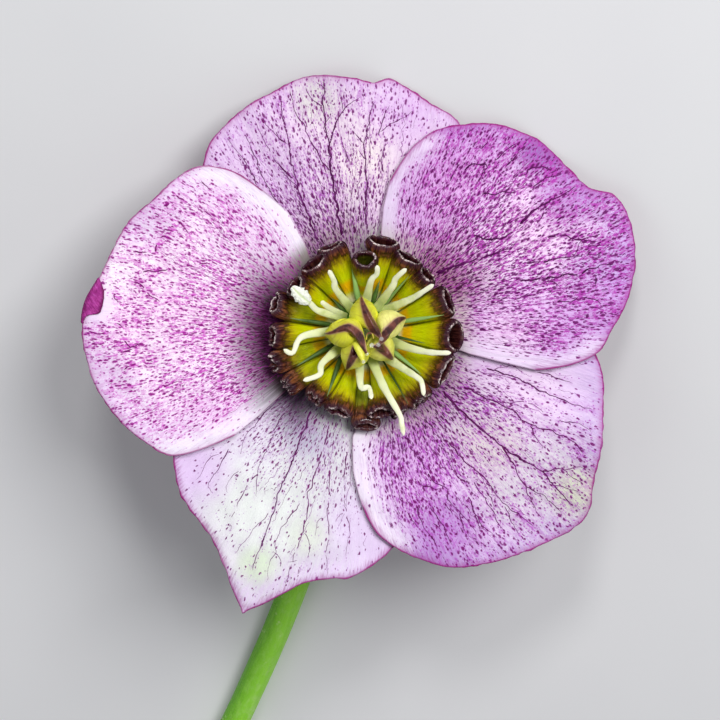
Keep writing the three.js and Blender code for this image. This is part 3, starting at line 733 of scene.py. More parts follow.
def strayVein(sepal, draw):  # a faint vein that follows the blade's own lines
    turns, inset = sepal["line"][0], strayRules["inset"]
    turn, start = draw.uniform(turns[0] + inset, turns[-1] - inset), draw.uniform(*strayRules["start"])
    end = min(start + draw.uniform(*strayRules["length"]), strayRules["end"])
    share = np.linspace(start, end, strayRules["steps"])
    sway = np.cumsum([draw.gauss(0, strayRules["sway"]) for _ in share])
    own, reach, _ = onSepal(sepal, turn + sway, share)
    return planPoint(own, reach)


def veinLines(name, sepal, draw):  # points in the plan, half-widths and tint of every vein
    found = []
    for width, *places in veinCourses[name]:
        line = veinPoints(sepal, places, draw)
        thick = width * veinRules["half"] * sepal["vein"] * np.linspace(*veinRules["taper"], len(line))
        found.append((line, thick, draw.uniform(0.2, 0.9)))
        for _ in range(int(len(line) * sepal["twigs"] * draw.uniform(0.5, 1.2))):
            at = draw.randrange(2, len(line))
            side = draw.choice((-1, 1))
            grown = twig(line, at, draw.uniform(*veinRules["twig"]), side, draw)
            found.append((grown, thick[at] * np.linspace(*veinRules["twigTaper"], len(grown)), 1.0))
    for _ in range(sepal["strays"]):
        line = strayVein(sepal, draw)
        thick = draw.uniform(*strayRules["half"]) * np.linspace(*strayRules["taper"], len(line))
        found.append((line, thick, draw.uniform(*strayRules["tint"])))
    return found


for name, sepal in sepals.items():
    sepal["draw"] = random.Random(veinRules["seed"] + int(sepal["azimuth"]))
    sepal["veins"] = veinLines(name, sepal, sepal["draw"])


# sepals
sheet = {
    "columns": 150,
    "rows": 92,
    "spacing": 1.15,  # above 1 the rows lie closer towards the margin
    "thickness": 0.42,
    "rimThickness": 0.12,
    "roll": 0.9,  # distance from the margin over which it thins
    "nibble": 0.09,  # unevenness of the margin
    "nibbleStart": 0.85,  # share of the length where it begins
    "relief": 0.13,  # soft bumps of the blade
    "pleat": 0.035,  # lengthwise ribs
    "reliefReach": (9, 24),  # where both come in
    "sideSteps": 160,
    "corner": 7,  # degrees of the rim that belong to a side
}
flap = {  # the bit of the left sepal's margin that is folded over its face
    "turns": (-4.4, 5.2),
    "width": [
        (0, 0), (0.1, 0.6), (0.27, 1.55), (0.42, 2.0), (0.6, 2.2), (0.74, 2.15), (0.78, 1.9), (0.81, 0.9),
        (0.85, 0.45), (1, 0),
    ],
    "course": [(0.06, -0.2), (-0.1, 0.08), (-0.04, 0.44), (0.3, 0.72), (0.65, 0.7), (1, 0.62)],  # in and up
    "rise": 1.0,
    "endRise": 0.12,
    "bumps": 0.03,
    "columns": 64,
    "rows": 14,
    "thickness": 0.18,
    "pattern": (30, 0.6),  # the pattern's place across the fold, and its mm along it for each degree
}
flecks = [  # cell, length and width in mm, share of the density, seed
    (0.84, 0.33, 0.13, 0.52, 3.0),
    (0.54, 0.23, 0.1, 0.8, 11.0),
    (0.36, 0.16, 0.08, 0.9, 23.0),
]
sepalTones = {
    "fringe": (166, 60, 156), "line": (154, 26, 122),
    "back": ((120, 34, 92), (188, 96, 160), (120, 120, 80)),
    "calm": 205,  # a patch whose tone lies above this in each part has fewer flecks
}
sepalFades = {  # where each part of the pattern fades in, from its faint end to its full one
    # degrees from the middle
    "heart": (24.0, 4.0), "flank": (16.0, 38.0), "sides": (8.0, 30.0),
    # mm from the axis
    "foot": (14.4, 12.0), "outward": (12.0, 26.0), "even": (15.0, 11.0), "round": (12.0, 25.0),
    "dark": (21.0, 11.0), "greenBack": (16.0, 8.0),
    # mm from the margin
    "margin": (6.0, 0.5), "rim": (-1.2, 1.2), "fringe": (1.0, 0.0), "rimLine": (0.28, 0.1),
    "sideLine": (0.18, 0.08),
    # radii of a fleck
    "fleck": (1.16, 0.86), "halo": (1.9, 0.9),
}
fleckDensity = {"vein": 0.34, "bare": 0.93, "calm": 0.4}  # what a vein adds, and bare and calm places take
# the fold's crease tone is partly painted shade and its ridge tone a painted highlight
foldTones = {
    "deep": (158, 42, 134), "bright": (192, 70, 162), "crease": (112, 16, 84), "ridge": (212, 110, 200),
    "edge": (96, 8, 66),
}


def hemDistances(sepal, plan):  # from each point to the minus side, the plus side and the outer margin
    rimTurn, corner = sepal["line"][0], sheet["corner"]
    shares = np.linspace(0, 1, sheet["sideSteps"])
    sides = ((rimTurn[0], rimTurn < rimTurn[0] + corner), (rimTurn[-1], rimTurn > rimTurn[-1] - corner))
    lines = []
    for end, near in sides:
        own, reach, _ = onSepal(sepal, np.full(shares.shape, end), shares)
        rimOwn, rimReach, _ = onSepal(sepal, rimTurn[near], np.ones(near.sum()))
        lines.append(np.vstack([planPoint(own, reach), planPoint(rimOwn, rimReach)]))
    own, reach, _ = onSepal(sepal, rimTurn, np.ones(len(rimTurn)))
    lines.append(planPoint(own, reach))
    flat = plan.reshape(-1, 2)
    found = [np.linalg.norm(flat[:, None, :] - line[None, :, :], axis=2).min(axis=1) for line in lines]
    return np.stack(found, axis=1).reshape(*plan.shape[:-1], 3)


def bladeHeight(sepal, own, reach):  # the middle of the blade with its soft relief
    seed = int(sepal["azimuth"])
    bumps = sheet["relief"] * unevenness(reach, np.radians(own) * reach, seed)
    pleats = sheet["pleat"] * np.sin(own * 2.2 + 2 * unevenness(reach / 4, own / 9, seed + 5, 4))
    return sepalHeight(sepal, own, reach) + (bumps + pleats) * smoothStep(reach, *sheet["reliefReach"])


def nearVeins(sepal, plan):  # 1 on a vein, 0 away from all of them
    flat, near = plan.reshape(-1, 2), 0
    for line, thick, tint in sepal["veins"]:
        if tint <= 1:
            gap = np.linalg.norm(flat[:, None, :] - line[None, ::2, :], axis=2).min(axis=1)
            strength = min(thick.max() / veinRules["haloHalf"], 1)
            near = np.maximum(near, np.exp(-((gap / veinRules["halo"]) ** 2)) * strength)
    return near


def sepalMesh(name, sepal):
    columns, rows = sheet["columns"], sheet["rows"]
    shares = 1 - (1 - np.linspace(0, 1, rows + 1)) ** sheet["spacing"]
    turn, share = np.meshgrid(rimLine(sepal, columns)[0], shares, indexing="ij")
    own, reach, _ = onSepal(sepal, turn, share)
    nibble = sheet["nibble"] * unevenness(turn / 3, turn * 0, int(sepal["azimuth"]) + 9, 7, 1.4, 0.4)
    reach = reach + nibble * smoothStep(share, sheet["nibbleStart"], 1.0)
    middle = inHead(own, reach, bladeHeight(sepal, own, reach), sepal["azimuth"])
    plan = planPoint(own, reach)
    hem = hemDistances(sepal, plan)
    full, thin = sheet["thickness"], sheet["rimThickness"]
    half = (thin + (full - thin) * np.sqrt(np.clip(hem.min(axis=2) / sheet["roll"], 0, 1))) / 2
    normal = unit(np.cross(np.gradient(middle, axis=1), np.gradient(middle, axis=0)))
    normal = normal * np.sign(normal[..., 2:])
    sheets = [middle + normal * half[..., None] * s for s in (1, -1)]
    run = unit(np.gradient(plan, axis=1)).reshape(-1, 2)
    return meshOf(
        name,
        np.vstack([s.reshape(-1, 3) for s in sheets]),
        shellFaces(columns, rows),
        plan=np.column_stack([np.vstack([plan.reshape(-1, 2)] * 2), np.repeat([0.0, 1.0], turn.size)]),
        run=np.vstack([np.column_stack([run, run[:, 0] * 0])] * 2),
        lie=np.vstack([np.stack([turn, reach, share], axis=-1).reshape(-1, 3)] * 2),
        hem=np.vstack([hem.reshape(-1, 3)] * 2),
        veined=np.tile(nearVeins(sepal, plan), 2),
    )


def flapMesh(sepal):  # the fold, which shows the sepal's reverse
    columns, rows = flap["columns"], flap["rows"]
    along = np.linspace(0, 1, columns + 1)
    turns = flap["turns"][0] + (flap["turns"][1] - flap["turns"][0]) * along
    width = np.interp(along, *zip(*flap["width"]))[:, None]
    inner, upper = throughPoints(flap["course"], rows).T
    own, reach, _ = onSepal(sepal, turns, np.ones(turns.shape))
    inward = np.maximum(inner, 0) * width + np.minimum(inner, 0)
    swell = (np.sin(np.pi * along) ** 0.5)[:, None]
    lifted = bladeHeight(sepal, own, reach)[:, None] + flap["rise"] * upper * swell
    lifted += flap["endRise"] * (1 - swell)
    lifted += flap["bumps"] * unevenness(turns[:, None] * 2, inward * 3, 77, 5, 3, 1)
    spread = np.broadcast_to(own[:, None], inward.shape)
    middle = inHead(spread, reach[:, None] - inward, lifted, sepal["azimuth"])
    normal = np.cross(np.gradient(middle, axis=1), np.gradient(middle, axis=0))
    normal /= np.maximum(np.linalg.norm(normal, axis=2, keepdims=True), 1e-9)
    sheets = [middle + normal * flap["thickness"] / 2 * s for s in (-1, 1)]
    start, perDegree = flap["pattern"]
    across = inward / np.maximum(width, 0.05)
    plan = np.column_stack([inward.ravel() + start, np.repeat(turns, rows + 1) * perDegree, across.ravel()])
    faces = shellFaces(columns, rows, turned=True)
    return meshOf("flap", np.vstack([s.reshape(-1, 3) for s in sheets]), faces, plan=np.vstack([plan] * 2))


def spots(g, plan, run, density, rounder, scale, cell, length, width, share, seed):
    # oval flecks drawn out along the veins
    moved = g.vector("ADD", g.scaled(plan, 1 / cell), (seed, seed * 1.7, 0.0))
    shifted = g.vector("SUBTRACT", g.noise(moved, 0.9, 2.0, out="Color"), (0.5, 0.5, 0.5))
    warped = g.vector("ADD", moved, g.scaled(shifted, 0.7))  # so that no rows show
    sockets = {"Vector": warped, "Scale": 1.0}
    cells = g.add("ShaderNodeTexVoronoi", {"voronoi_dimensions": "2D"}, sockets, "Color")
    offset = g.vector("SUBTRACT", warped, cells.out("Position"))
    x, y, _ = g.parts(run)
    along = g.vector("DOT_PRODUCT", offset, run, "Value")
    along = along * (rounder * 0.6 + 0.8) * (cell / (length * scale))
    across = g.vector("DOT_PRODUCT", offset, g.combine(0.0 - y, x), "Value")
    across = across * (1.1 - rounder * 0.3) * (cell / (width * scale))
    pick, size, strength = g.parts(cells)
    oval = (along * along + across * across).math("SQRT") / (size * 0.75 + 0.5)
    there = (pick < density * share) * (strength * 0.15 + 0.85)
    return [g.step(oval, *sepalFades[key]) * there for key in ("fleck", "halo")]


def paintSepal(sepal):
    def gapTo(g, plan, x, y):
        return g.vector("DISTANCE", plan, (*facePlace(x, y, sepal["azimuth"]), 0.0), "Value")

    def paint(g):
        tones, fades = sepalTones, sepalFades
        plan, run = g.attribute("plan"), g.attribute("run")
        turn, reach, _ = g.parts(g.attribute("lie"))
        minus, plus, outer = g.parts(g.attribute("hem"))
        face = g.parts(plan)[2]
        veined = g.attribute("veined", "Fac")
        edge = minus.math("MINIMUM", plus).math("MINIMUM", outer)
        streak = g.noise(g.combine(turn * 0.9, reach * 0.05), 1.6, 4.0, 0.65)
        fineStreak = g.noise(g.combine(turn * 1.7, reach * 0.4, 3.0), 1.4, 3.0, 0.6)
        cloud = g.noise(plan, 0.14, 3.0, 0.55)
        wideCloud = g.noise(g.vector("ADD", plan, (40.0, 9.0, 0.0)), 0.07, 2.0, 0.5)
        away = turn.math("ABSOLUTE")
        # the ground with its tinted places
        middle = g.step(away + (cloud - 0.5) * 30, *fades["heart"])
        ground = g.blend(middle, sepal["ground"], sepal["heart"])
        flank = g.step(away + (wideCloud - 0.5) * 26, *fades["flank"])
        ground = g.blend(flank * 0.8, ground, sepal["flank"])
        rimmed = g.step(outer + (cloud - 0.5) * 5, *fades["margin"])
        rimmed = rimmed * (g.step(fineStreak, 0.3, 0.65) * 0.5 + 0.3)
        ground = g.blend(rimmed, ground, sepal["margin"])
        calm = streak * 0.0
        for x, y, radius, tone, strength in sepal["patches"]:
            gap = gapTo(g, plan, x, y) + (cloud - 0.5) * radius
            inside = g.step(gap, radius * 1.5, radius * 0.3) * strength
            ground = g.blend(inside, ground, tone)
            if min(tone) > tones["calm"]:
                calm = calm.math("MAXIMUM", inside)
        # bare sides, and the foot, whose dark part is partly the sepal's own and partly painted shade
        bare = streak * 0.0
        for side, wide in zip((minus, plus), sepal["bare"]):
            if wide:
                lace = g.step(side + (streak - 0.5) * 3.6 + (cloud - 0.5) * 2.6, wide * 1.7, wide * 0.2)
                bare = bare.math("MAXIMUM", lace)
        ground = g.blend(bare * 0.85, ground, sepal["lace"])
        # the dark foot: partly the sepal's own dark heart, partly painted shade of the ring of nectaries
        centre, spread, far, depth = sepal["heartShade"]
        aside = (turn - centre).math("ABSOLUTE") + (cloud - 0.5) * 14
        central = g.step(aside, spread, spread * 0.3)
        shaded = central * g.step(reach + (streak - 0.5) * 5, far, 12.2)
        foot = g.step(reach + (streak - 0.5) * 2, *fades["foot"]) * (0.8 - bare * (0.8 * (1 - depth)))
        ground = g.blend(foot, ground, sepal["green"])
        ground = g.blend(shaded * depth, ground, sepal["base"])
        # how densely the flecks stand
        dense, sparse = sepal["density"]
        sideMinus, sideMiddle, sidePlus = sepal["sides"]
        start, end = fades["sides"]
        sided = sideMiddle + g.step(turn, -start, -end) * (sideMinus - sideMiddle)
        sided = sided + g.step(turn, start, end) * (sidePlus - sideMiddle)
        outward = g.step(reach, *fades["outward"])
        patch = g.step(g.noise(plan, 0.3, 3.0, 0.6), 0.3, 0.66)
        density = dense * (central * 0.45 + 0.55) * (1 - outward) + outward * sparse
        density = density * (sided + (1 - sided) * g.step(reach, *fades["even"]))
        density = density * (0.55 + patch * 0.6) * (0.5 + g.step(streak, 0.3, 0.7) * 0.95)
        density = density * g.step(outer, *fades["rim"]) * (1 - calm * fleckDensity["calm"])
        density = (density + veined * fleckDensity["vein"]) * (1 - bare * fleckDensity["bare"])
        if "clear" in sepal:
            x, y, radius = sepal["clear"]
            density = density * g.step(gapTo(g, plan, x, y) + (cloud - 0.5) * radius, radius, radius * 2.0)
        # the soft wash, the flecks and their halo
        washGrain = g.noise(g.combine(turn * 1.1, reach * 1.1, 1.0), 1.2, 4.0, 0.75)
        wash = g.step(washGrain, 0.44, 0.6) * density * sepal["stain"]
        wash = wash + g.step(fineStreak, 0.45, 0.75) * density * (sepal["stain"] * 0.4) + veined * 0.16
        # less wash where the foot's painted shade lies
        colour = g.blend(wash * (1 - shaded * (depth * 0.7)), ground, sepal["wash"])
        rounder = g.step(reach, *fades["round"]) * sepal["round"]
        sizes = [spots(g, plan, run, density, rounder, sepal["fleck"], *size) for size in flecks]
        (big, bigHalo), (small, smallHalo), (dust, _) = sizes
        deep = g.step(reach, *fades["dark"]) * (central * 0.6 + 0.4)
        deep = (deep + g.step(g.noise(plan, 0.9, 2.0), 0.45, 0.7) * 0.35).math("MINIMUM", 1.0)
        darker = g.blend(deep, sepal["spot"], sepal["dark"])
        marks = big.math("MAXIMUM", small * 0.95)
        # fainter halo under the foot's painted shade
        halo = bigHalo.math("MAXIMUM", smallHalo) * (0.5 - shaded * (depth * 0.4))
        colour = g.blend(halo, colour, sepal["wash"])
        colour = g.blend(dust * 0.8, colour, g.blend(deep, sepal["wash"], sepal["spot"]))
        colour = g.blend(marks, colour, darker)
        # the foot's painted shade, laid once more over the flecks
        colour = g.blend(shaded * (depth**2 * 0.5), colour, sepal["base"])
        # the margin's line and the reverse
        ragged = (streak - 0.5) * 0.14
        line = g.step(outer + ragged, *fades["rimLine"]) * (g.step(cloud, 0.35, 0.6) * 0.35 + 0.6)
        line = line.math("MAXIMUM", g.step(edge + ragged, *fades["sideLine"]) * 0.28)
        fringe = g.step(outer + (fineStreak - 0.5) * 2.4, *fades["fringe"]) * sepal["fringe"]
        colour = g.blend(fringe, colour, tones["fringe"])
        colour = g.blend(line, colour, tones["line"])
        dull, pale, green = tones["back"]
        back = g.blend(g.noise(g.combine(turn * 0.7, reach * 0.1, 7.0), 2.0, 4.0, 0.6), dull, pale)
        back = g.blend(g.step(reach, *fades["greenBack"]) * 0.7, back, green)
        colour = g.blend(face, colour, back)
        grain = g.noise(plan, 5.5, 3.0, 0.7)
        height = fineStreak * 0.5 + streak * 0.4 + grain * 0.3 - marks * 0.12
        return {"Base Color": colour, "Roughness": 0.44 + grain * 0.2, "Height": height, "Depth": 0.00016}
    return paint


def paintReverse(g):
    plan = g.attribute("plan")
    x, y, across = g.parts(plan)
    mottle = g.noise(plan, 1.1, 4.0, 0.65)
    crease = g.noise(g.combine((x + y) * 0.5, (x - y) * 2.6), 1.3, 4.0, 0.6)  # slanting folds
    colour = g.blend(g.step(mottle, 0.3, 0.7), foldTones["deep"], foldTones["bright"])
    # darker in the troughs of the slanting folds, partly purple streaks of the reverse and partly painted
    # shade; paler on their ridges, a painted highlight
    colour = g.blend(g.step(crease, 0.34, 0.54), g.blend(0.55, colour, foldTones["crease"]), colour)
    colour = g.blend(g.step(crease, 0.54, 0.7) * 0.5, colour, foldTones["ridge"])
    edge = g.step(across, 0.72, 0.98).math("MAXIMUM", g.step(across, 0.22, 0.0) * 0.6)
    colour = g.blend(edge * 0.8, colour, foldTones["edge"])
    return {"Base Color": colour, "Roughness": 0.38 + mottle * 0.2, "Height": crease, "Depth": 0.0003}


def joinFold(blade, fold):  # both become one mesh, with the fold's faces last
    pair = [bpy.data.objects.new(mesh.name, mesh) for mesh in (blade, fold)]
    for part in pair:
        scene.collection.objects.link(part)
    with bpy.context.temp_override(active_object=pair[0], selected_editable_objects=pair):
        bpy.ops.object.join()
    bpy.data.objects.remove(pair[0])


petalBody = {"Specular IOR Level": 0.14}
for name, sepal in sepals.items():
    mesh = sepalMesh(name + "_blade", sepal)
    materials = [finish(name + " skin", paintSepal(sepal), **petalBody)]
    bladeFaces = len(mesh.polygons)
    if name == "sepal_left":
        joinFold(mesh, flapMesh(sepal))
        materials.append(finish("sepal reverse", paintReverse, **petalBody))
    keep(name + "_blade", mesh, materials, name)
    folded = np.arange(len(mesh.polygons)) >= bladeFaces
    mesh.polygons.foreach_set("material_index", folded.astype(np.int32))
print("hellebore: sepals")


# geometry trees, and one that draws ribs, ribbons and stalks along lines
def newTree(name, **inputs):  # a tree with named inputs, each with its kind and first value
    tree = bpy.data.node_groups.new(name, "GeometryNodeTree")
    sockets = {"Geometry": ("Geometry", None), **inputs, "Material": ("Material", None)}
    for label, (kind, value) in sockets.items():
        socket = tree.interface.new_socket(label, in_out="INPUT", socket_type="NodeSocket" + kind)
        if value is not None:
            socket.default_value = value
    tree.interface.new_socket("Geometry", in_out="OUTPUT", socket_type="NodeSocketGeometry")
    g = Graph(tree)
    return g, g.add("NodeGroupInput")


def closeTree(g, given, shape):  # smooth shading, the material and plain geometry
    smooth = g.add("GeometryNodeSetShadeSmooth", sockets={0: shape})
    dressed = g.add("GeometryNodeSetMaterial", sockets={0: smooth, "Material": given.out("Material")})
    real = g.add("GeometryNodeRealizeInstances", sockets={0: dressed})
    g.add("NodeGroupOutput", sockets={0: real})
    return g.tree


def sweepTree():
    g, given = newTree("along a line", Sides=("Int", 8), Flatness=("Float", 1.0))
    lines = g.add("GeometryNodeMeshToCurve", sockets={0: given})
    level = g.add("GeometryNodeSetCurveNormal", {"mode": "Z_UP"}, {0: lines})
    sockets = {"Resolution": given.out("Sides"), "Radius": 1.0}
    circle = g.add("GeometryNodeCurvePrimitiveCircle", sockets=sockets)
    shape = g.combine(1.0, given.out("Flatness"), 1.0)
    oval = g.add("GeometryNodeTransform", sockets={0: circle, "Scale": shape})
    sockets = {"Curve": level, "Profile Curve": oval, "Scale": g.fields("thick")[0], "Fill Caps": True}
    return closeTree(g, given, g.add("GeometryNodeCurveToMesh", sockets=sockets))


sweep = sweepTree()


def fromTree(name, source, tree, **inputs):  # the plain mesh that a tree makes of a source mesh
    carrier = bpy.data.objects.new(name + "_source", source)
    scene.collection.objects.link(carrier)
    modifier = carrier.modifiers.new("tree", "NODES")
    modifier.node_group = tree
    for item in tree.interface.items_tree:
        if item.in_out == "INPUT" and item.name in inputs:
            modifier[item.identifier] = inputs[item.name]
    evaluated = carrier.evaluated_get(bpy.context.evaluated_depsgraph_get())
    mesh = bpy.data.meshes.new_from_object(evaluated)
    mesh.name = name
    carrier.modifiers.clear()
    bpy.data.objects.remove(carrier)
    return mesh


def lineMesh(name, lines):  # each line is its points, half-widths and tint
    points, edges, thick, share, tint = [], [], [], [], []
    for row in lines:
        first, count = len(points), len(row["points"])
        points += [tuple(p) for p in row["points"]]
        edges += [(first + i, first + i + 1) for i in range(count - 1)]
        thick += list(row["thick"])
        share += list(np.linspace(0, 1, count))
        tint += [row.get("tint", 0.0)] * count
    return meshOf(name, points, edges=edges, thick=thick, share=share, tint=tint)


# veins as ribs
def clearOf(sepal, line):  # the first stretch of a line that stays on the blade
    own = np.degrees(np.arctan2(line[:, 1], line[:, 0]))
    reach = np.hypot(line[:, 0], line[:, 1])
    rimTurn, rimReach = sepal["line"]
    within = reach < np.interp(own, rimTurn, rimReach) - veinRules["clear"]
    good = within & (own > rimTurn[0]) & (own < rimTurn[-1])
    stop = len(good) if good.all() else int(np.argmin(good))
    return own[:stop], reach[:stop], stop


def veinMesh(name, sepal):
    rows, draw = [], sepal["draw"]
    for line, thick, tint in sepal["veins"]:
        own, reach, count = clearOf(sepal, line)
        if count < 4:
            continue
        thick = thick[:count]

        def surface(turned, longer):
            height = bladeHeight(sepal, own + turned, reach + longer)
            return inHead(own + turned, reach + longer, height, sepal["azimuth"])

        middle = surface(0, 0)
        normal = unit(np.cross(surface(0, 0.2) - middle, surface(0.4, 0) - middle))
        beads = np.clip(unevenness(np.arange(count) * 0.5, 0.0, draw.randrange(9999), 6, 6, 1.5), 0, 1)
        lifted = middle + normal * (sheet["thickness"] / 2 - veinRules["sink"] * thick)[:, None]
        thick = thick * (1 + veinRules["bead"] * beads)
        thick[0] *= veinRules["ends"][0]
        thick[-1] *= veinRules["ends"][1]
        start = 0
        for at in range(count):  # here and there the colour of a vein fades out
            if draw.random() < sepal["breaks"] * (tint + 0.2) and at - start > 3:
                rows.append({"points": lifted[start:at], "thick": thick[start:at], "tint": tint})
                start = at + draw.randrange(1, 3)
        if count - start > 2:
            rows.append({"points": lifted[start:], "thick": thick[start:], "tint": tint})
    return lineMesh(name, rows)


def paintVein(sepal):
    def paint(g):
        tint, share = g.values("tint", "share")
        patchy = g.noise(g.place(), veinRules["patchy"], 2.0)
        colour = g.blend(g.step(tint, 0.0, 1.0) * 0.4 + 0.12, sepal["dark"], sepal["spot"])
        faint = g.step(tint, 0.9, 2.0) * 0.4 + g.step(patchy, 0.48, 0.75) * 0.26 + share * 0.06
        return {"Base Color": g.blend(faint, colour, sepal["wash"]), "Roughness": 0.5 + patchy * 0.1}
    return paint


for name, sepal in sepals.items():
    skin = finish(name + " veins", paintVein(sepal), **petalBody)
    source = veinMesh(name, sepal)
    mesh = fromTree(name + "_veins", source, sweep, Sides=6, Flatness=1.0, Material=skin)
    keep(name + "_veins", mesh, [skin])
print("hellebore: veins")


# nectaries
nectary = {
    "first": 3.9,  # distance from the axis where each begins
    "mouth": 11.1,
    "out": (8.4, -1.2),  # how the distance grows along the length
    "low": 1.75,
    "rise": (2.2, 2.15),
    "foot": 0.5,  # half-depth at the foot
    "overlap": 1.06,  # how closely the feet fill the ring
    "belly": 0.34,
    "lip": 0.72,  # thickness of the rolled lip
    "lipStart": 0.72,  # share of the length where the lip begins to flare
    "flare": 0.1,
    "roll": (0.93, 1.06),  # where along the run the lip rolls over
    "throat": 0.38,  # share of the run of the tree's grid that goes back down inside
    "weld": 0.004,
    "around": 44,
    "along": 72,
}
nectaryTones = {
    "body": [
        (0.0, (244, 244, 210)), (0.1, (250, 246, 190)), (0.2, (232, 226, 14)), (0.5, (212, 222, 0)),
        (0.7, (206, 200, 0)), (1.0, (150, 96, 10)),
    ],
    "amber": (255, 196, 6), "streak": (110, 130, 8), "shade": (62, 84, 12), "gapShade": (34, 40, 6),
    "golden": (128, 82, 10), "maroon": (50, 6, 16), "flame": (150, 88, 50), "lip": (54, 10, 36),
    "glint": ((160, 92, 100), (255, 244, 238)), "throat": ((52, 16, 20), (120, 70, 56)),
    "greenThroat": (126, 138, 10), "outside": (60, 34, 28),
}
nectaryFades = {  # where each tone fades in, from its faint end to its full one
    "amber": (0.14, 0.04), "flank": (1.0, 0.6), "streak": (0.5, 0.8), "shade": (0.6, 1.1),
    "gapShade": (0.68, 0.98), "golden": (0.66, 0.9), "tip": (0.84, 1.0), "flame": (0.46, 0.62),
    "lip": (0.0, 0.3), "strand": (0.47, 0.58), "shred": (0.38, 0.5), "spark": (0.36, 0.56),
    "throat": (0.96, 1.0), "greenThroat": (0.25, 0.15), "outside": (0.1, -0.5),
}
# one row each: turn, reach of the mouth, width, gape, slant, raggedness, lift, tone, amber's place
nectaries = [
    (18.7, 10.9, 4.2, 2.3, 0.5, 0.16, 0.1, 0.35, 0.16),
    (-5.2, 10.8, 4.8, 1.6, 0.1, 0.4, 0.0, 0.5, 0.18),
    (-30.0, 10.8, 3.4, 1.4, 0.0, 1.2, 0.1, 0.6, 0.2),
    (-45.2, 10.7, 2.7, 1.3, 0.0, 1.3, -0.2, 0.75, 0.2),
    (-58.4, 10.0, 3.7, 1.7, 0.2, 0.4, 0.25, 0.4, 0.14),
    (-68.7, 11.5, 3.6, 1.7, 0.2, 0.14, -0.9, 1.0, 0.2),
    (-87.7, 10.3, 3.7, 1.5, 0.1, 0.6, 0.1, 0.3, 0.2),
    (-107.2, 10.3, 2.7, 1.3, 0.3, 1.2, 0.2, 0.5, 0.25),
    (-124.2, 11.6, 2.5, 1.2, 0.0, 1.6, -0.3, 0.8, 0.25),
    (-140.2, 11.9, 2.8, 1.4, 0.1, 1.5, -0.1, 0.85, 0.25),
    (-156.1, 11.4, 3.2, 1.6, 0.1, 1.2, 0.2, 0.6, 0.25),
    (-176.2, 11.6, 3.3, 1.5, 0.1, 0.8, -0.3, 0.85, 0.25),
    (168.3, 10.3, 3.2, 1.9, 0.2, 0.6, 0.35, 0.3, 0.28),
    (148.3, 10.5, 4.0, 1.75, 0.2, 0.3, 0.1, 0.25, 0.3),
    (133.9, 11.2, 3.7, 1.6, 0.0, 0.4, -0.2, 0.5, 0.3),
    (112.0, 8.9, 3.3, 2.7, 0.1, 0.3, 0.7, 0.2, 0.36),
    (100.5, 11.2, 4.3, 1.75, 0.25, 0.18, 0.0, 0.5, 0.3),
    (81.2, 10.4, 4.0, 1.65, 0.1, 0.4, 0.1, 0.35, 0.28),
    (64.3, 10.2, 2.9, 1.9, 0.1, 0.5, -0.3, 0.7, 0.25),
    (42.3, 10.7, 4.0, 1.65, 0.1, 0.3, 0.0, 0.3, 0.18),
]
nectaryFields = ("turn", "mouth", "wide", "gape", "slant", "ragged", "lift", "tone", "amber")


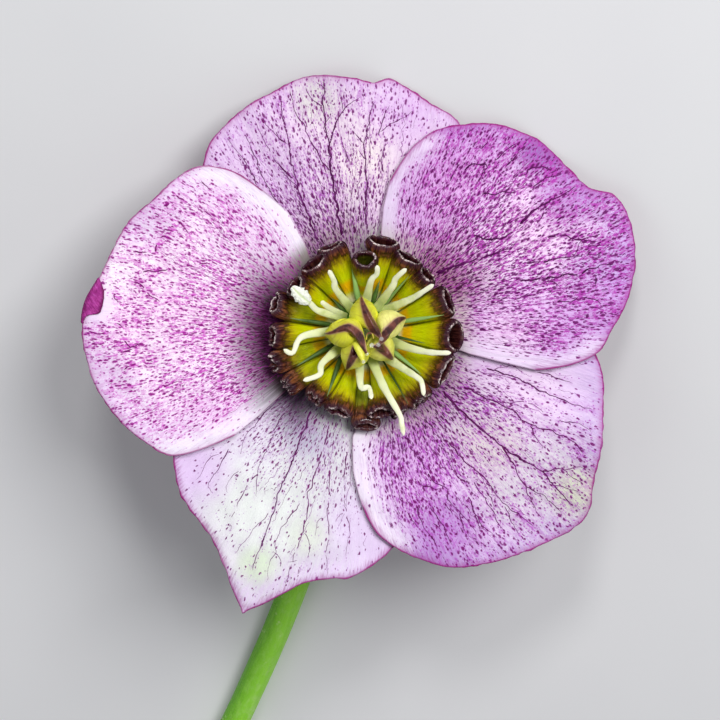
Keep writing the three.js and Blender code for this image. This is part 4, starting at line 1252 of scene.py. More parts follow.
def trumpetTree():
    g, given = newTree(
        "trumpets in a ring",
        First=("Float", nectary["first"]), Low=("Float", nectary["low"]), Lip=("Float", nectary["lip"]),
    )
    grid = g.add("GeometryNodeMeshGrid", sockets={2: nectary["around"] + 1, 3: nectary["along"] + 1})
    x, y, _ = g.parts(g.add("GeometryNodeInputPosition"))
    marked = g.store(grid, around=x + 0.5, along=y + 0.5)
    copies = g.add("GeometryNodeInstanceOnPoints", sockets={0: given, "Instance": marked})
    real = g.add("GeometryNodeRealizeInstances", sockets={0: copies})
    turn, mouth, wide, gape, slant, ragged, lift = g.fields(*nectaryFields[:7])
    around, along, ahead, behind = g.fields("around", "along", "ahead", "behind")
    # round each tube, then along it, over the lip and back down inside
    angle = around * (2 * math.pi)
    cosine, sine = angle.math("COSINE"), angle.math("SINE")
    run = along * (1 + nectary["throat"])
    rollStart, rollEnd = nectary["roll"]
    rolled = ((run - rollStart) / (rollEnd - rollStart)).math("MINIMUM", 1.0).math("MAXIMUM", 0.0)
    rollAngle = rolled * math.pi
    share = run.math("MINIMUM", 1.0) - (run - rollEnd).math("MAXIMUM", 0.0) * 1.3
    lip = g.step(share, nectary["lipStart"], 1.0)
    # its middle line
    stretch = (mouth - given.out("First")) / (nectary["mouth"] - nectary["first"])
    (outA, outB), (riseA, riseB) = nectary["out"], nectary["rise"]
    reach = given.out("First") + (share * outA + share * share * outB) * stretch
    height = given.out("Low") + share * riseA + share * share * (riseB + lift)
    slopeOut = (outA + share * (2 * outB)) * stretch
    slopeUp = riseA + share * 2.0 * (riseB + lift)
    long = (slopeOut * slopeOut + slopeUp * slopeUp).math("SQRT")
    tangentOut, tangentUp = slopeOut / long, slopeUp / long
    # slow, middling and quick unevenness
    wave = g.noise(g.combine(cosine * 1.4, sine * 0.8, turn * 0.37), 1.1, 3.0, 0.6) - 0.5
    crimp = g.noise(g.combine(cosine * 3.2, sine * 1.2, turn * 0.73 + share * 0.8), 1.7, 3.0, 0.65) - 0.5
    rumple = g.noise(g.combine(cosine * 2.2, sine * 2.2, turn * 0.51 + share * 3.0), 1.6, 3.0, 0.6) - 0.5
    frill = g.noise(g.combine(cosine * 4.5, sine * 2.0, turn * 0.91 + share), 2.6, 2.0, 0.6) - 0.5
    # half the width and half the depth
    inset = (1 - rollAngle.math("COSINE")) * 0.5 * given.out("Lip")
    rounding = g.step(run, 0.0, 0.03) * g.step(along, 1.0, 0.97)
    room = behind + (cosine > 0.0) * (ahead - behind)
    fitted = reach * room * (math.pi / 180) * nectary["overlap"]
    halfWide = fitted + (wide * 0.5 - fitted) * g.step(share, 0.5, 1.0)
    halfWide = (halfWide + lip * nectary["flare"] - inset) * rounding
    halfDeep = nectary["foot"] + (gape * 0.5 - nectary["foot"]) * share**1.4
    belly = g.step(share, 0.1, 0.5) * g.step(share, 0.98, 0.6) * nectary["belly"]
    halfDeep = (halfDeep + lip * nectary["flare"] + belly - inset) * rounding
    # where each point goes
    flat = cosine.math("ABSOLUTE") ** 0.9 * cosine.math("SIGN")
    lens = sine.math("ABSOLUTE") ** (lip * 0.45 + 1) * sine.math("SIGN")  # the mouth comes to two corners
    sideways = halfWide * flat * (1 + wave * ragged * lip * 0.5)
    ripple = lip * (crimp * (ragged * 1.5 + 0.45)) + rumple * share * 0.22
    bent = halfDeep * lens + ripple + frill * lip * (ragged * 0.5 + 0.12) - cosine * cosine * lip * 0.15
    longer = lip * ((0 - sine) * slant + wave * ragged * 2.0 + (crimp + frill * 0.5) * (ragged * 1.4 + 0.12))
    longer = longer + rollAngle.math("SINE") * 0.4 * given.out("Lip")
    outward = reach + tangentOut * longer - tangentUp * bent
    upward = height + tangentUp * longer + tangentOut * bent
    radians = turn * (math.pi / 180)
    turnCos, turnSin = radians.math("COSINE"), radians.math("SINE")
    place = g.combine(
        turnCos * outward - turnSin * sideways,
        turnSin * outward + turnCos * sideways,
        upward,
    )
    shaped = g.add("GeometryNodeSetPosition", sockets={0: real, "Position": place})
    shaped = g.store(shaped, share=share, rolled=rolled, upper=sine)
    welded = g.add("GeometryNodeMergeByDistance", sockets={0: shaped, "Distance": nectary["weld"]})
    return closeTree(g, given, welded)


def paintNectary(g):
    share, rolled, upper, tone, turn, around, amber = g.values(
        "share", "rolled", "upper", "tone", "turn", "around", "amber"
    )
    tones, fades = nectaryTones, nectaryFades
    flank = (around * (2 * math.pi)).math("COSINE").math("ABSOLUTE")
    streak = g.noise(g.combine(around * 9.0 + turn * 0.21, share * 0.55, tone), 3.4, 4.0, 0.7)
    fine = g.noise(g.combine(around * 22.0 + turn, share * 0.8, 2.0), 3.0, 3.0, 0.7)
    mottle = g.noise(g.combine(around * 5.0 + turn, share * 5.0, tone * 9), 1.6, 3.0, 0.6)
    # the yellow body with its amber place, painted shade on the darker ones and at the sides, and its golden
    # end
    body = g.add("ShaderNodeValToRGB", {"stops": tones["body"]}, {0: share + (fine - 0.5) * 0.1})
    gap = (share - amber + (streak - 0.5) * 0.08).math("ABSOLUTE")
    body = g.blend(g.step(gap, *fades["amber"]) * g.step(flank, *fades["flank"]), body, tones["amber"])
    colour = g.blend(g.step(streak, *fades["streak"]) * 0.3, body, tones["streak"])
    shade = g.step(tone + (mottle - 0.5) * 0.3, *fades["shade"])
    colour = g.blend(shade * 0.75 * g.step(share, 0.1, 0.4), colour, tones["shade"])
    # painted shade in the gaps between neighbouring nectaries
    gapShade = g.step(flank + (fine - 0.5) * 0.2, *fades["gapShade"])
    colour = g.blend(gapShade * 0.9, colour, tones["gapShade"])
    golden = g.step(share + (streak - 0.5) * 0.4 + tone * 0.08, *fades["golden"])
    colour = g.blend(golden * 0.62, colour, tones["golden"])
    # the withered end, its lip and the painted highlights on it
    reached = share + (streak - 0.5) * 0.36 + (mottle - 0.5) * 0.24 + (fine - 0.5) * 0.3
    tip = g.step(reached + tone * 0.12 + flank * 0.06, *fades["tip"])
    flamed = streak * 0.35 + mottle * 0.65 + (fine - 0.5) * 0.6
    maroon = g.blend(g.step(flamed, *fades["flame"]), tones["maroon"], tones["flame"])
    lip = g.step(rolled + (mottle - 0.5) * 0.6, *fades["lip"])
    maroon = g.blend(lip * 0.8, maroon, tones["lip"])
    colour = g.blend(tip, colour, maroon)
    # painted highlights: broken pale lines along the rolled lips, a little stronger on the inner lip
    strand = g.noise(g.combine(around * 5.0 + turn, rolled * 2.0, tone * 9), 1.1, 4.0, 0.75)
    shred = g.noise(g.combine(around * 13.0 + turn, rolled * 1.2, tone * 5), 1.3, 3.0, 0.7)
    glint = g.step((rolled - 0.62 + (mottle - 0.5) * 0.4).math("ABSOLUTE"), 0.05 + strand * 0.3, 0.02)
    glint = glint * g.step(strand + upper * 0.05, *fades["strand"]) * g.step(shred, *fades["shred"])
    spark = g.blend(g.step(fine, *fades["spark"]), *tones["glint"])
    colour = g.blend(glint * 0.95, colour, spark)
    # the throat and the outer side
    throat = g.blend(g.step(streak + (fine - 0.5) * 0.3, 0.45, 0.7) * 0.5, *tones["throat"])
    green = g.step(tone, *fades["greenThroat"]) * g.step(share, 0.99, 0.9)
    throat = g.blend(green, throat, tones["greenThroat"])
    colour = g.blend(g.step(rolled, *fades["throat"]), colour, throat)
    outerSide = g.step(upper, *fades["outside"]) * g.step(rolled, 0.3, 0.0)
    return {
        "Base Color": g.blend(outerSide * 0.6, colour, tones["outside"]),
        "Roughness": 0.2 + streak * 0.16,
        "Height": streak * 0.7 + fine * 0.4 + mottle * tip,
        "Depth": 0.0004,
    }


def nectaryMesh(skin):
    turns = np.array([row[0] for row in nectaries])
    fields = dict(zip(nectaryFields, zip(*nectaries)))
    for key, sign in (("ahead", 1), ("behind", -1)):  # half the turn to the next one on either side
        gaps = (sign * (turns[None, :] - turns[:, None])) % 360
        fields[key] = np.where(gaps > 0, gaps, 360).min(axis=1) / 2
    points = meshOf("nectary_points", [(0, 0, 0)] * len(nectaries), **fields)
    return fromTree("nectary_ring", points, trumpetTree(), Material=skin)


waxy = {"Specular IOR Level": 0.26, "Coat Weight": 0.3, "Coat Roughness": 0.05}
skin = finish("nectary skin", paintNectary, **waxy)
keep("nectary_ring", nectaryMesh(skin), [skin], "nectaries")


# slim green blades between the nectaries' feet, which stand for the nectaries' green sides seen in the gaps:
# their dark tone is partly painted shade, the pale blue-green tone of some a painted reflection. Each row:
# foot and tip seen face on, width, tone
wedges = [
    ((-0.9, 3.7), (-1.75, 8.0), 1.0, 0.9), ((0.85, 3.7), (1.7, 6.4), 0.85, 0.2),
    ((1.7, 2.8), (5.3, 6.9), 0.65, 0.7), ((4.2, 1.25), (9.6, 2.1), 0.75, 1.0),
    ((3.4, -0.5), (7.3, -1.4), 0.5, 0.1), ((2.9, -2.0), (6.8, -5.2), 0.8, 0.9),
    ((1.9, -3.2), (5.4, -9.2), 0.35, 0.0), ((-3.1, -3.1), (-4.8, -8.0), 0.85, 0.1),
    ((-2.6, 2.5), (-4.3, 4.3), 0.7, 0.2), ((-2.1, 3.4), (-3.7, 5.9), 0.65, 0.2),
    ((-4.2, 0.9), (-9.4, 1.7), 0.8, 0.1), ((-4.0, -1.5), (-8.6, -4.2), 0.8, 0.1),
]
wedge = {
    "height": [(3.5, 2.9), (5, 3.5), (7, 4.35), (9.7, 5.9)],  # distance from the axis, height
    "arch": 0.25,
    "depth": 0.8,  # share of the width
    "steps": 22,
    "around": 10,
    "grain": 900.0,
    "tones": ((40, 70, 6), (146, 186, 104), (150, 180, 110)),
}


def wedgeMesh():
    points, faces, share, tint = [], [], [], []
    columns, rows = wedge["around"], wedge["steps"] + 1
    way, angle = np.linspace(0, 1, rows), roundTurns(columns)
    for foot, tip, width, tone in wedges:
        foot, tip = np.array(facePlace(*foot)), np.array(facePlace(*tip))
        flat = foot + (tip - foot) * way[:, None]
        side = unit(np.array([foot[1] - tip[1], tip[0] - foot[0], 0.0]))
        height = np.interp(np.hypot(*flat.T), *zip(*wedge["height"])) + wedge["arch"] * np.sin(math.pi * way)
        faces += tubeFaces(rows, columns, len(points))
        for i in range(rows):
            half = width / 2 * max((1 - way[i]) ** 0.8 * (0.55 + 0.9 * min(way[i] / 0.25, 1) / 2), 0.02)
            ring = np.outer(np.cos(angle) * half, side)
            ring += np.outer(np.sin(angle) * half * wedge["depth"], (0, 0, 1))
            points += (ring + (*flat[i], height[i])).tolist()
        share += np.repeat(way, columns).tolist()
        tint += [tone] * (columns * rows)
    return meshOf("wedges", points, faces, share=share, tint=tint)


def paintWedge(g):
    share, tint = g.values("share", "tint")
    grain = g.noise(g.place(), wedge["grain"], 3.0, 0.6)
    dark, light, tip = wedge["tones"]
    colour = g.blend(tint + (grain - 0.5) * 0.4, dark, light)
    colour = g.blend(g.step(share, 0.5, 1.0) * 0.4, colour, tip)
    return {"Base Color": colour, "Roughness": 0.35 + grain * 0.2, "Height": grain, "Depth": 0.0001}


keep("wedges", wedgeMesh(), [finish("wedge skin", paintWedge)])
print("hellebore: nectaries")


# stamens
filament = {
    "heights": [(3.0, 2.7), (4, 3.7), (4.8, 4.9), (6.2, 6.6), (8, 7.9), (10.2, 8.7), (14, 9)],
    "steps": 30,
    "width": (0.62, 0.42, 0.3),  # half-width at the root, halfway and near the tip
    "flatness": 0.34,
    "mottle": 700.0,
    "tones": [
        (0.0, (206, 220, 128)), (0.25, (228, 236, 178)), (0.6, (236, 240, 200)), (1.0, (246, 246, 214)),
    ],
    "green": (190, 208, 110),
}
filaments = [  # points from the root to the tip, in the head's own plan
    [(-2.5, 1.9), (-5.3, 3.5), (-5.9, 4.4), (-7, 5.4)],
    [(-1.2, 2.8), (-1.7, 6), (-1.35, 7.1), (-1.7, 8.1)],
    [(0.1, 3.1), (1, 6.4), (1.0, 7.4), (1.8, 9)],
    [(0.8, 3.0), (3.2, 5.3), (4.1, 6.3), (5.6, 8.4)],
    [(3.0, 0.1), (5.4, 0.1), (8.1, 0.5), (10.6, 1.4)],
    [(2.6, -1.8), (5.3, -2.4), (7.9, -2.9), (8.6, -3.3), (9.4, -4.7)],
    [(1.6, -2.6), (4.4, -5.4), (7.5, -7.9), (8.1, -8.8), (8.9, -10.1)],
    [(0.4, -3.1), (1.8, -6.4), (2.8, -6.2), (3.6, -7.4)],
    [(-2.0, -2.4), (-3.6, -5.5), (-3.4, -6.9), (-5, -8.3)],
    [(-3.0, -0.9), (-7, -3.3), (-7.4, -5.6), (-8.6, -5.6)],
    [(-3.0, 0.8), (-6.2, 0.3), (-7.7, 0.8), (-9.2, 1.3)],
    [(-3.1, 0.7), (-5.2, 1.1), (-6.5, 1.5)],
]
anther = {
    "course": [(-7.7, 0.8), (-9, 1.25), (-10.4, 1.85)],
    "half": (0.82, 0.34),  # half its width and half its depth
    "frill": (0.24, 0.2),
    "groove": 0.45,
    "lift": 0.25,
    "around": 40,
    "along": 34,
    "crumb": 2600.0,
    "tones": ((250, 252, 240), (202, 220, 140), (224, 232, 190)),
}


def risen(course, count, lift=0.0):
    line = throughPoints(course, count)
    height = np.interp(np.hypot(line[:, 0], line[:, 1]), *zip(*filament["heights"]))
    return np.column_stack([line, height + lift])


def filamentLines(draw):
    rows = []
    root, half, tip = filament["width"]
    for course in filaments:
        points = risen(course, filament["steps"])
        share = np.linspace(0, 1, len(points))
        thick = np.interp(share, (0, 0.12, 0.5, 0.85, 1), (root, root * 0.95, half, tip, tip))
        thick *= 1 + 0.07 * unevenness(share * 9, share * 0, draw.randrange(999), 5, 3, 1)
        blunt = np.sqrt(np.clip((1 - share) / 0.05, 0.02, 1))
        points[:, 2] += 0.1 * unevenness(share * 9, share * 0, draw.randrange(999), 4, 5, 2) * share
        rows.append({"points": points, "thick": thick * blunt, "tint": draw.random()})
    return rows


def antherMesh():  # a ragged white anther with frilled edges
    line = risen(anther["course"], anther["along"], anther["lift"])
    share = np.linspace(0, 1, len(line))[:, None]
    angle = roundTurns(anther["around"])[None, :]
    wide, deep = anther["half"]
    wideFrill, deepFrill = anther["frill"]
    swell = np.sin(np.pi * np.clip(share * 0.94 + 0.03, 0, 1) ** 0.85) ** 0.6
    frill = unevenness(np.cos(angle) * 3 + share * 9, np.sin(angle) * 3, 31, 12, 2.2, 0.7)
    groove = 1 - anther["groove"] * np.exp(-(np.cos(angle) / 0.25) ** 2) * (np.sin(angle) > 0)
    tangent = unit(np.gradient(line, axis=0))
    side = unit(np.cross((0, 0, 1), tangent))
    up = np.cross(tangent, side)
    across = wide * swell * np.cos(angle) * (1 + wideFrill * frill)
    lifted = deep * swell * np.sin(angle) * groove * (1 + deepFrill * frill)
    points = line[:, None, :] + side[:, None, :] * across[..., None] + up[:, None, :] * lifted[..., None]
    middle = np.abs(np.cos(angle)) * np.ones(share.shape)
    share = np.repeat(share, anther["around"])
    faces = tubeFaces(*across.shape)
    return meshOf("anther", points.reshape(-1, 3), faces, share=share, tint=middle.ravel())


def paintFilament(g):
    share, tint = g.values("share", "tint")
    mottle = g.noise(g.place(), filament["mottle"], 3.0)
    body = g.add("ShaderNodeValToRGB", {"stops": filament["tones"]}, {0: share + (mottle - 0.5) * 0.3})
    colour = g.blend(g.step(mottle + tint * 0.2, 0.6, 0.85) * 0.5, body, filament["green"])
    return {"Base Color": colour, "Roughness": 0.4 + mottle * 0.15, "Height": mottle, "Depth": 0.0001}


def paintAnther(g):
    middle = g.attribute("tint", "Fac")
    crumb = g.noise(g.place(), anther["crumb"], 4.0, 0.7)
    white, green, cream = anther["tones"]
    colour = g.blend(g.step(middle, 0.3, 0.05) * 0.7, white, green)
    colour = g.blend(g.step(crumb, 0.55, 0.75) * 0.5, colour, cream)
    return {"Base Color": colour, "Roughness": 0.7 + crumb * 0.2, "Height": crumb, "Depth": 0.0004}


pulp = {"Subsurface Weight": 0.2, "Subsurface Radius": (1.0, 1.0, 0.5), "Subsurface Scale": 0.0006}
skin = finish("filament skin", paintFilament, **pulp)
source = lineMesh("filaments", filamentLines(random.Random(12)))
mesh = fromTree("filaments", source, sweep, Sides=12, Flatness=filament["flatness"], Material=skin)
keep("filaments", mesh, [skin], "stamens")
# the anther glows a little, painted light that keeps it white
bright = {"Emission Color": (0.94, 1.0, 0.84, 1.0), "Emission Strength": 0.14}
keep("anther", antherMesh(), [finish("anther skin", paintAnther, **bright)])
print("hellebore: stamens")


# carpels
carpel = {
    "body": [(0.4, 4.0), (0.75, 4.8), (0.98, 6.2), (0.9, 7.6)],  # share of the belly's distance, height
    "bendHeight": 8.7,
    "tipHeight": 9.3,
    "widths": [
        (0, 1.2), (0.1, 2.4), (0.25, 3.4), (0.42, 3.6), (0.55, 2.8), (0.66, 1.7), (0.78, 1.2), (0.9, 0.85),
        (1, 0.3),
    ],
    "depths": [
        (0, 1.2), (0.1, 2.1), (0.25, 2.8), (0.42, 2.9), (0.55, 2.2), (0.66, 1.4), (0.78, 0.9), (0.9, 0.65),
        (1, 0.3),
    ],
    "keel": 0.2,  # height of the ridge along the back
    "keelEnd": 0.95,
    "bow": 4.0,  # how much the back comes to an edge, as a share of the ridge
    "crease": 0.35,  # how far the two halves of a belly swell beside the ridge
    "creaseEnd": 0.72,
    "halves": (0.75, 0.42),  # where round the belly they swell, and how widely
    "mottle": 420.0,
    "fine": 1500.0,
    "around": 44,
    "along": 46,
}
carpels = [  # belly, bend of the style and tip of each, and its paleness
    ((-0.95, 1.76), (0.3, 1.0), (2.1, -0.1), 0.1),
    ((2.15, 1.85), (2.3, 0.6), (2.0, -0.9), 0.9),
    ((-2.55, -1.1), (-1.4, -0.1), (1.0, -2.4), 0.1),
    ((-0.3, -2.85), (-0.2, -2.0), (1.0, -3.5), 0.2),
    ((2.2, -1.0), (2.0, -1.0), (1.3, -1.3), 0.5),
]
carpelTones = {
    "body": ((222, 224, 28), (246, 242, 150)), "mottle": (176, 180, 16), "foot": (120, 140, 30),
    "rib": (172, 150, 40), "crest": ((54, 16, 18), (118, 62, 50)), "crestFoot": (188, 104, 128),
    "blush": (150, 92, 70), "edging": (150, 84, 104),
}
carpelFades = {  # where each tone fades in, from its faint end to its full one
    "mottle": (0.5, 0.72), "foot": (0.2, 0.0), "rib": (0.5, 0.72), "crestStart": (0.26, 0.33),
    "crestWide": (0.3, 0.74), "crestNarrow": (0.78, 1.0), "crestEdge": (0.05, -0.06), "edging": (0.2, 0.02),
    "edgingStart": (0.24, 0.3), "dark": (0.38, 0.66), "crestFoot": (0.42, 0.28), "blush": (0.75, 0.0),
    "blushStart": (0.35, 0.6),
}


def carpelMesh():
    columns, rows = carpel["around"], carpel["along"] + 1
    points, faces, ridge = [], [], []
    way, angle = np.linspace(0, 1, rows), roundTurns(columns)
    wide, deep = (np.interp(way, *zip(*carpel[key])) / 2 for key in ("widths", "depths"))
    outward = np.clip(np.cos(angle), 0, 1)
    crest = outward**30 + carpel["bow"] * outward**8
    turned, spread = carpel["halves"]
    halves = np.exp(-(((np.abs(angle - math.pi) - math.pi + turned) / spread) ** 2))
    for belly, bend, tip, _ in carpels:
        belly = np.array(belly)
        course = [(*(belly * s), h) for s, h in carpel["body"]]
        course += [(*bend, carpel["bendHeight"]), (*tip, carpel["tipHeight"])]
        line = throughPoints(course, carpel["along"])
        tangent = unit(np.gradient(line, axis=0))
        flank = unit(np.cross((0, 0, 1), (*belly, 0)))
        side = unit(flank - tangent * (tangent @ flank)[:, None])
        back = np.cross(side, tangent)  # outwards, then upwards over the top
        faces += tubeFaces(rows, columns, len(points))
        for i in range(rows):
            keel = carpel["keel"] * math.sin(math.pi * min(way[i] / carpel["keelEnd"], 1)) * crest
            swell = carpel["crease"] * math.sin(math.pi * min(way[i] / carpel["creaseEnd"], 1)) * halves
            over = wide[i] * np.sin(angle)
            out = deep[i] * np.cos(angle) + keel + swell
            points += (line[i] + np.outer(out, back[i]) + np.outer(over, side[i])).tolist()
            ridge += (np.abs(over) + np.where(np.cos(angle) > 0, 0, 9)).tolist()
    share = np.tile(np.repeat(way, columns), len(carpels))
    pale = np.repeat([row[-1] for row in carpels], rows * columns)
    return meshOf("carpels_whole", points, faces, share=share, ridge=ridge, pale=pale)


def paintCarpel(g):
    share, ridge, pale = g.values("share", "ridge", "pale")
    tones, fades = carpelTones, carpelFades
    mottle = g.noise(g.place(), carpel["mottle"], 4.0, 0.6)
    fine = g.noise(g.place(), carpel["fine"], 3.0, 0.6)
    body = g.blend(pale + (mottle - 0.5) * 0.3, *tones["body"])
    body = g.blend(g.step(mottle, *fades["mottle"]) * 0.5, body, tones["mottle"])
    body = g.blend(g.step(share, *fades["foot"]) * 0.6, body, tones["foot"])
    rib = g.noise(g.combine(share * 34 + ridge * 5.0, ridge * 0.5, pale * 7), 1.0, 3.0, 0.6)
    body = g.blend(g.step(rib, *fades["rib"]) * 0.4, body, tones["rib"])
    # the brown crest, which widens along the style
    band = (g.step(share, *fades["crestWide"]) * 0.62) * (1 - g.step(share, *fades["crestNarrow"]) * 0.7)
    gap = ridge + (fine - 0.5) * 0.12 + (mottle - 0.5) * 0.2 + 0.05 - band
    brown = g.step(gap, *fades["crestEdge"]) * g.step(share, *fades["crestStart"])
    edging = g.step(gap, *fades["edging"]) * g.step(share, *fades["edgingStart"])
    dark = g.blend(g.step(mottle + (rib - 0.5) * 0.4, *fades["dark"]), *tones["crest"])
    dark = g.blend(g.step(share, *fades["crestFoot"]), dark, tones["crestFoot"])
    blush = g.step(gap, *fades["blush"]) * g.step(share, *fades["blushStart"])
    body = g.blend(blush * 0.35, body, tones["blush"])
    colour = g.blend(brown, g.blend(edging * 0.7, body, tones["edging"]), dark)
    height = mottle + fine * 0.4
    return {"Base Color": colour, "Roughness": 0.3 + fine * 0.2, "Height": height, "Depth": 0.00018}


curl = {  # a thin thread between the styles, seen face on
    "points": [(0.05, -0.95), (0.1, -0.35), (0.42, -0.1), (0.78, -0.28), (0.9, -0.8)],
    "height": 9.2,
    "thick": 0.1,
    "flatness": 0.6,
    "mottle": 900.0,
    "tones": ((196, 184, 30), (120, 62, 40)),
}


def paintCurl(g):
    tint = g.noise(g.place(), curl["mottle"])
    return {"Base Color": g.blend(g.step(tint, 0.4, 0.6), *curl["tones"]), "Roughness": 0.35 + tint * 0.1}


skin = finish("curl skin", paintCurl)
line = throughPoints([(*facePlace(x, y), curl["height"]) for x, y in curl["points"]], 24)
source = lineMesh("curl", [{"points": line, "thick": np.full(len(line), curl["thick"])}])
mesh = fromTree("curl", source, sweep, Sides=8, Flatness=curl["flatness"], Material=skin)
keep("curl", mesh, [skin])

pods = carpelMesh()
podShape = pods.copy()
keep("carpels_whole", pods, [finish("carpel skin", paintCarpel, **pulp)], "carpels")

# small clear drops on the styles, seen face on: x, y, radius
drops = [
    (1.88, -0.85, 0.27), (1.49, -1.56, 0.27), (0.71, -1.63, 0.29), (0.08, -2.65, 0.26), (-0.31, -3.6, 0.23),
]
drop = {
    "proud": 0.7, "level": 9.2, "cloud": 2000.0, "wet": 3000.0,
    "tones": ((250, 252, 244), (255, 255, 255)),
}


def dropMesh(ground):
    surface = BVHTree.FromPolygons([v.co for v in ground.vertices], [p.vertices for p in ground.polygons])
    built = bmesh.new()
    for x, y, radius in drops:
        x, y = facePlace(x, y)
        hit = surface.ray_cast(Vector((x, y, 30)), Vector((0, 0, -1)))[0]
        place = (x, y, (hit.z if hit else drop["level"]) + radius * drop["proud"])
        bmesh.ops.create_icosphere(built, subdivisions=4, radius=radius, matrix=Matrix.Translation(place))
    mesh = bpy.data.meshes.new("drops")
    built.to_mesh(mesh)
    built.free()
    mesh.polygons.foreach_set("use_smooth", [True] * len(mesh.polygons))
    return mesh


def paintDrop(g):
    colour = g.blend(g.noise(g.place(), drop["cloud"]), *drop["tones"])
    return {"Base Color": colour, "Roughness": g.noise(g.place(), drop["wet"]) * 0.06}


# the drops are clear and also glow a little, which is painted light
glassAndGlow = {"Transmission Weight": 0.8, "IOR": 1.4, "Emission Color": (1, 1, 1, 1), "Emission Strength": 0.1}
keep("drops", dropMesh(podShape), [finish("clear drop", paintDrop, **glassAndGlow)])
print("hellebore: carpels")


# stem
stem = {
    "radius": 1.9,
    "depth": 3.4,
    "bend": 2.5,
    "line": [(0.6, -15), (2.3, -24), (3.2, -36), (3.3, -54), (2.2, -75), (0.2, -96)],
    "ribs": 9,
    "ribDepth": 0.012,
    "uneven": 0.02,
    "around": 48,
    "steps": 260,
    "dots": 1100.0,
    "pick": 500.0,
    "cut": [(0.93, 0.02), (0.86, 0.06), (0.55, 0.13), (0.2, 0.15)],  # share of the radius, depth
}
receptacle = {
    "profile": [  # radius, height
        (1.8, -4.5), (2.1, -3.2), (3.35, -1.6), (4.35, -0.4), (4.38, 0.5), (4.2, 0.85), (3.2, 1.0),
        (3, 1.5), (2.9, 2.1), (2.4, 2.25), (2.35, 3.0), (1.2, 3.1),
    ],
    "around": 64,
    "steps": 60,
}
stemTones = {
    "body": ((98, 176, 4), (156, 230, 60)), "cloud": (184, 234, 124), "streak": (116, 200, 20),
    "fine": (170, 230, 84), "dots": (210, 236, 160), "pith": ((184, 216, 128), (214, 230, 176)),
    "bundles": (120, 158, 60),
}
stemFades = {  # where each tone fades in, from its faint end to its full one
    "lit": (-0.5, 0.25), "cloud": (0.45, 0.65), "streak": (0.4, 0.7), "fine": (0.45, 0.75),
    "dots": (0.28, 0.12), "dotted": (0.5, 0.6), "bundles": (0.52, 0.62), "ring": (0.06, 0.02),
    "pith": (0.36, 0.2), "cut": (0.475, 0.45),
}


def paintStem(g):
    along, x, y = g.values("along", "roundX", "roundY")
    tones, fades = stemTones, stemFades
    streak = g.noise(g.combine(x, y, along * 0.02), 7.0, 4.0, 0.65)
    fine = g.noise(g.combine(x, y, along * 0.12), 26.0, 3.0, 0.6)
    sockets = {"Vector": g.place(), "Scale": stem["dots"]}
    dots = g.add("ShaderNodeTexVoronoi", sockets=sockets, out="Distance")
    pick = g.noise(g.place(), stem["pick"])
    # painted light: the stem is lighter on one side, with pale clouds only there
    lit = g.step(x + (streak - 0.5) * 0.5, *fades["lit"])
    cloudy = g.noise(g.combine(x * 2.0, y * 2.0, along * 0.3), 2.0, 3.0, 0.6)
    colour = g.blend(lit, *tones["body"])
    colour = g.blend(lit * g.step(cloudy, *fades["cloud"]) * 0.55, colour, tones["cloud"])
    colour = g.blend(g.step(streak, *fades["streak"]) * 0.35, colour, tones["streak"])
    colour = g.blend(g.step(fine, *fades["fine"]) * 0.4, colour, tones["fine"])
    dotted = g.step(dots, *fades["dots"]) * g.step(pick, *fades["dotted"])
    colour = g.blend(dotted * 0.5, colour, tones["dots"])
    # the cut face: a pale pith in a ring of bundles
    inner = (x * x + y * y).math("SQRT")
    bundles = g.step(g.noise(g.combine(x, y, 9.0), 16.0, 2.0), *fades["bundles"])
    bundles = bundles * g.step((inner - 0.36).math("ABSOLUTE"), *fades["ring"])
    pith = g.blend(g.step(inner, *fades["pith"]), *tones["pith"])
    pith = g.blend(bundles * 0.8, pith, tones["bundles"])
    colour = g.blend(g.step(inner, *fades["cut"]), colour, pith)
    height = streak + fine * 0.5
    return {"Base Color": colour, "Roughness": 0.4 + fine * 0.15, "Height": height, "Depth": 0.00025}


def bezier(a, b, c, share):
    t = share[:, None]
    return a * (1 - t) ** 2 + b * 2 * t * (1 - t) + c * t**2


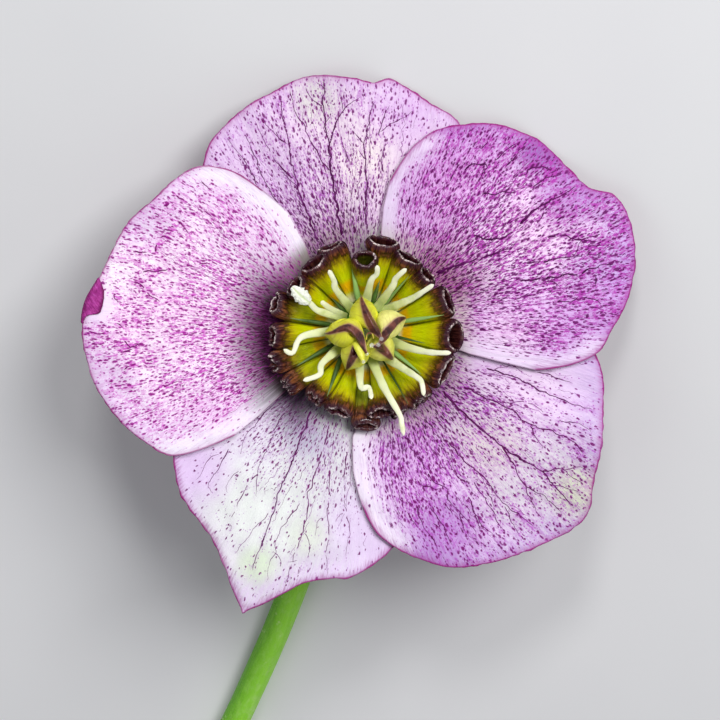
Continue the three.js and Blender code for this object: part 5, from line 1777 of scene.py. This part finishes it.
def stemPath():  # the stem's middle line in the part, mm
    down = leaning @ np.array((0, 0, -1.0))
    start = headOrigin + down * stem["depth"]
    corner = headOrigin + down * (headOrigin[2] - stem["radius"]) / -down[2]
    landing = corner - (0, np.linalg.norm(start - corner), 0)
    shift = (headOrigin[0], headOrigin[1], 0)
    lying = [np.array((x, y, stem["radius"])) + shift for x, y in stem["line"]]
    arch = bezier(start, corner, landing, np.linspace(0, 1, 60))
    rest = throughPoints([landing, landing - (0, stem["bend"], 0), *lying], 240)
    return throughPoints(np.vstack([arch, rest[1:]])[::4], stem["steps"])


def stemMesh():
    line, angle = stemPath(), roundTurns(stem["around"])
    tangent = unit(np.gradient(line, axis=0))
    gone = wayAlong(line)
    side = unit(np.cross(tangent, np.cross((1.0, 0, 0), tangent)))
    up = np.cross(side, tangent)
    ribs = 1 - stem["ribDepth"] * (1 - np.cos(angle * stem["ribs"])) / 2
    waves = unevenness(gone[:, None] / 3, np.cos(angle)[None, :] * 2, 8, 6, 9, 2)
    radius = stem["radius"] * ribs[None, :] * (1 - stem["uneven"] * (1 + waves) / 2)
    points = line[:, None, :] + side[:, None, :] * (radius * np.cos(angle))[..., None]
    points = points + up[:, None, :] * (radius * np.sin(angle))[..., None]
    inset, sunk = np.array(stem["cut"]).T
    closing = line[-1] + (points[-1] - line[-1])[None] * inset[:, None, None]
    closing = closing - (tangent[-1] * sunk[:, None])[:, None]
    points = np.concatenate([points, closing])
    back = np.array(headMatrix.inverted())
    stalk = points.reshape(-1, 3) * millimetre @ back[:3, :3].T + back[:3, 3]
    wide = np.r_[np.ones(len(line)), inset]
    # the receptacle that it swells into
    profile = throughPoints(receptacle["profile"], receptacle["steps"])
    turns = roundTurns(receptacle["around"])
    rings = [np.column_stack([r * np.cos(turns), r * np.sin(turns), turns * 0 + z]) for r, z in profile]
    count = len(turns) * len(profile)
    return meshOf(
        "stalk",
        np.vstack([stalk, *rings]),
        [*tubeFaces(len(points), len(angle)), *tubeFaces(len(profile), len(turns), len(stalk))],
        along=np.r_[np.repeat(np.r_[gone, gone[-1] + 0 * inset], len(angle)), np.zeros(count)],
        roundX=np.r_[np.outer(wide, np.cos(angle) / 2).ravel(), np.tile(np.cos(turns) / 2, len(profile))],
        roundY=np.r_[np.outer(wide, np.sin(angle) / 2).ravel(), np.tile(np.sin(turns) / 2, len(profile))],
    )


keep("stalk", stemMesh(), [finish("stem skin", paintStem, **pulp)], "stem")
print("hellebore: stem")
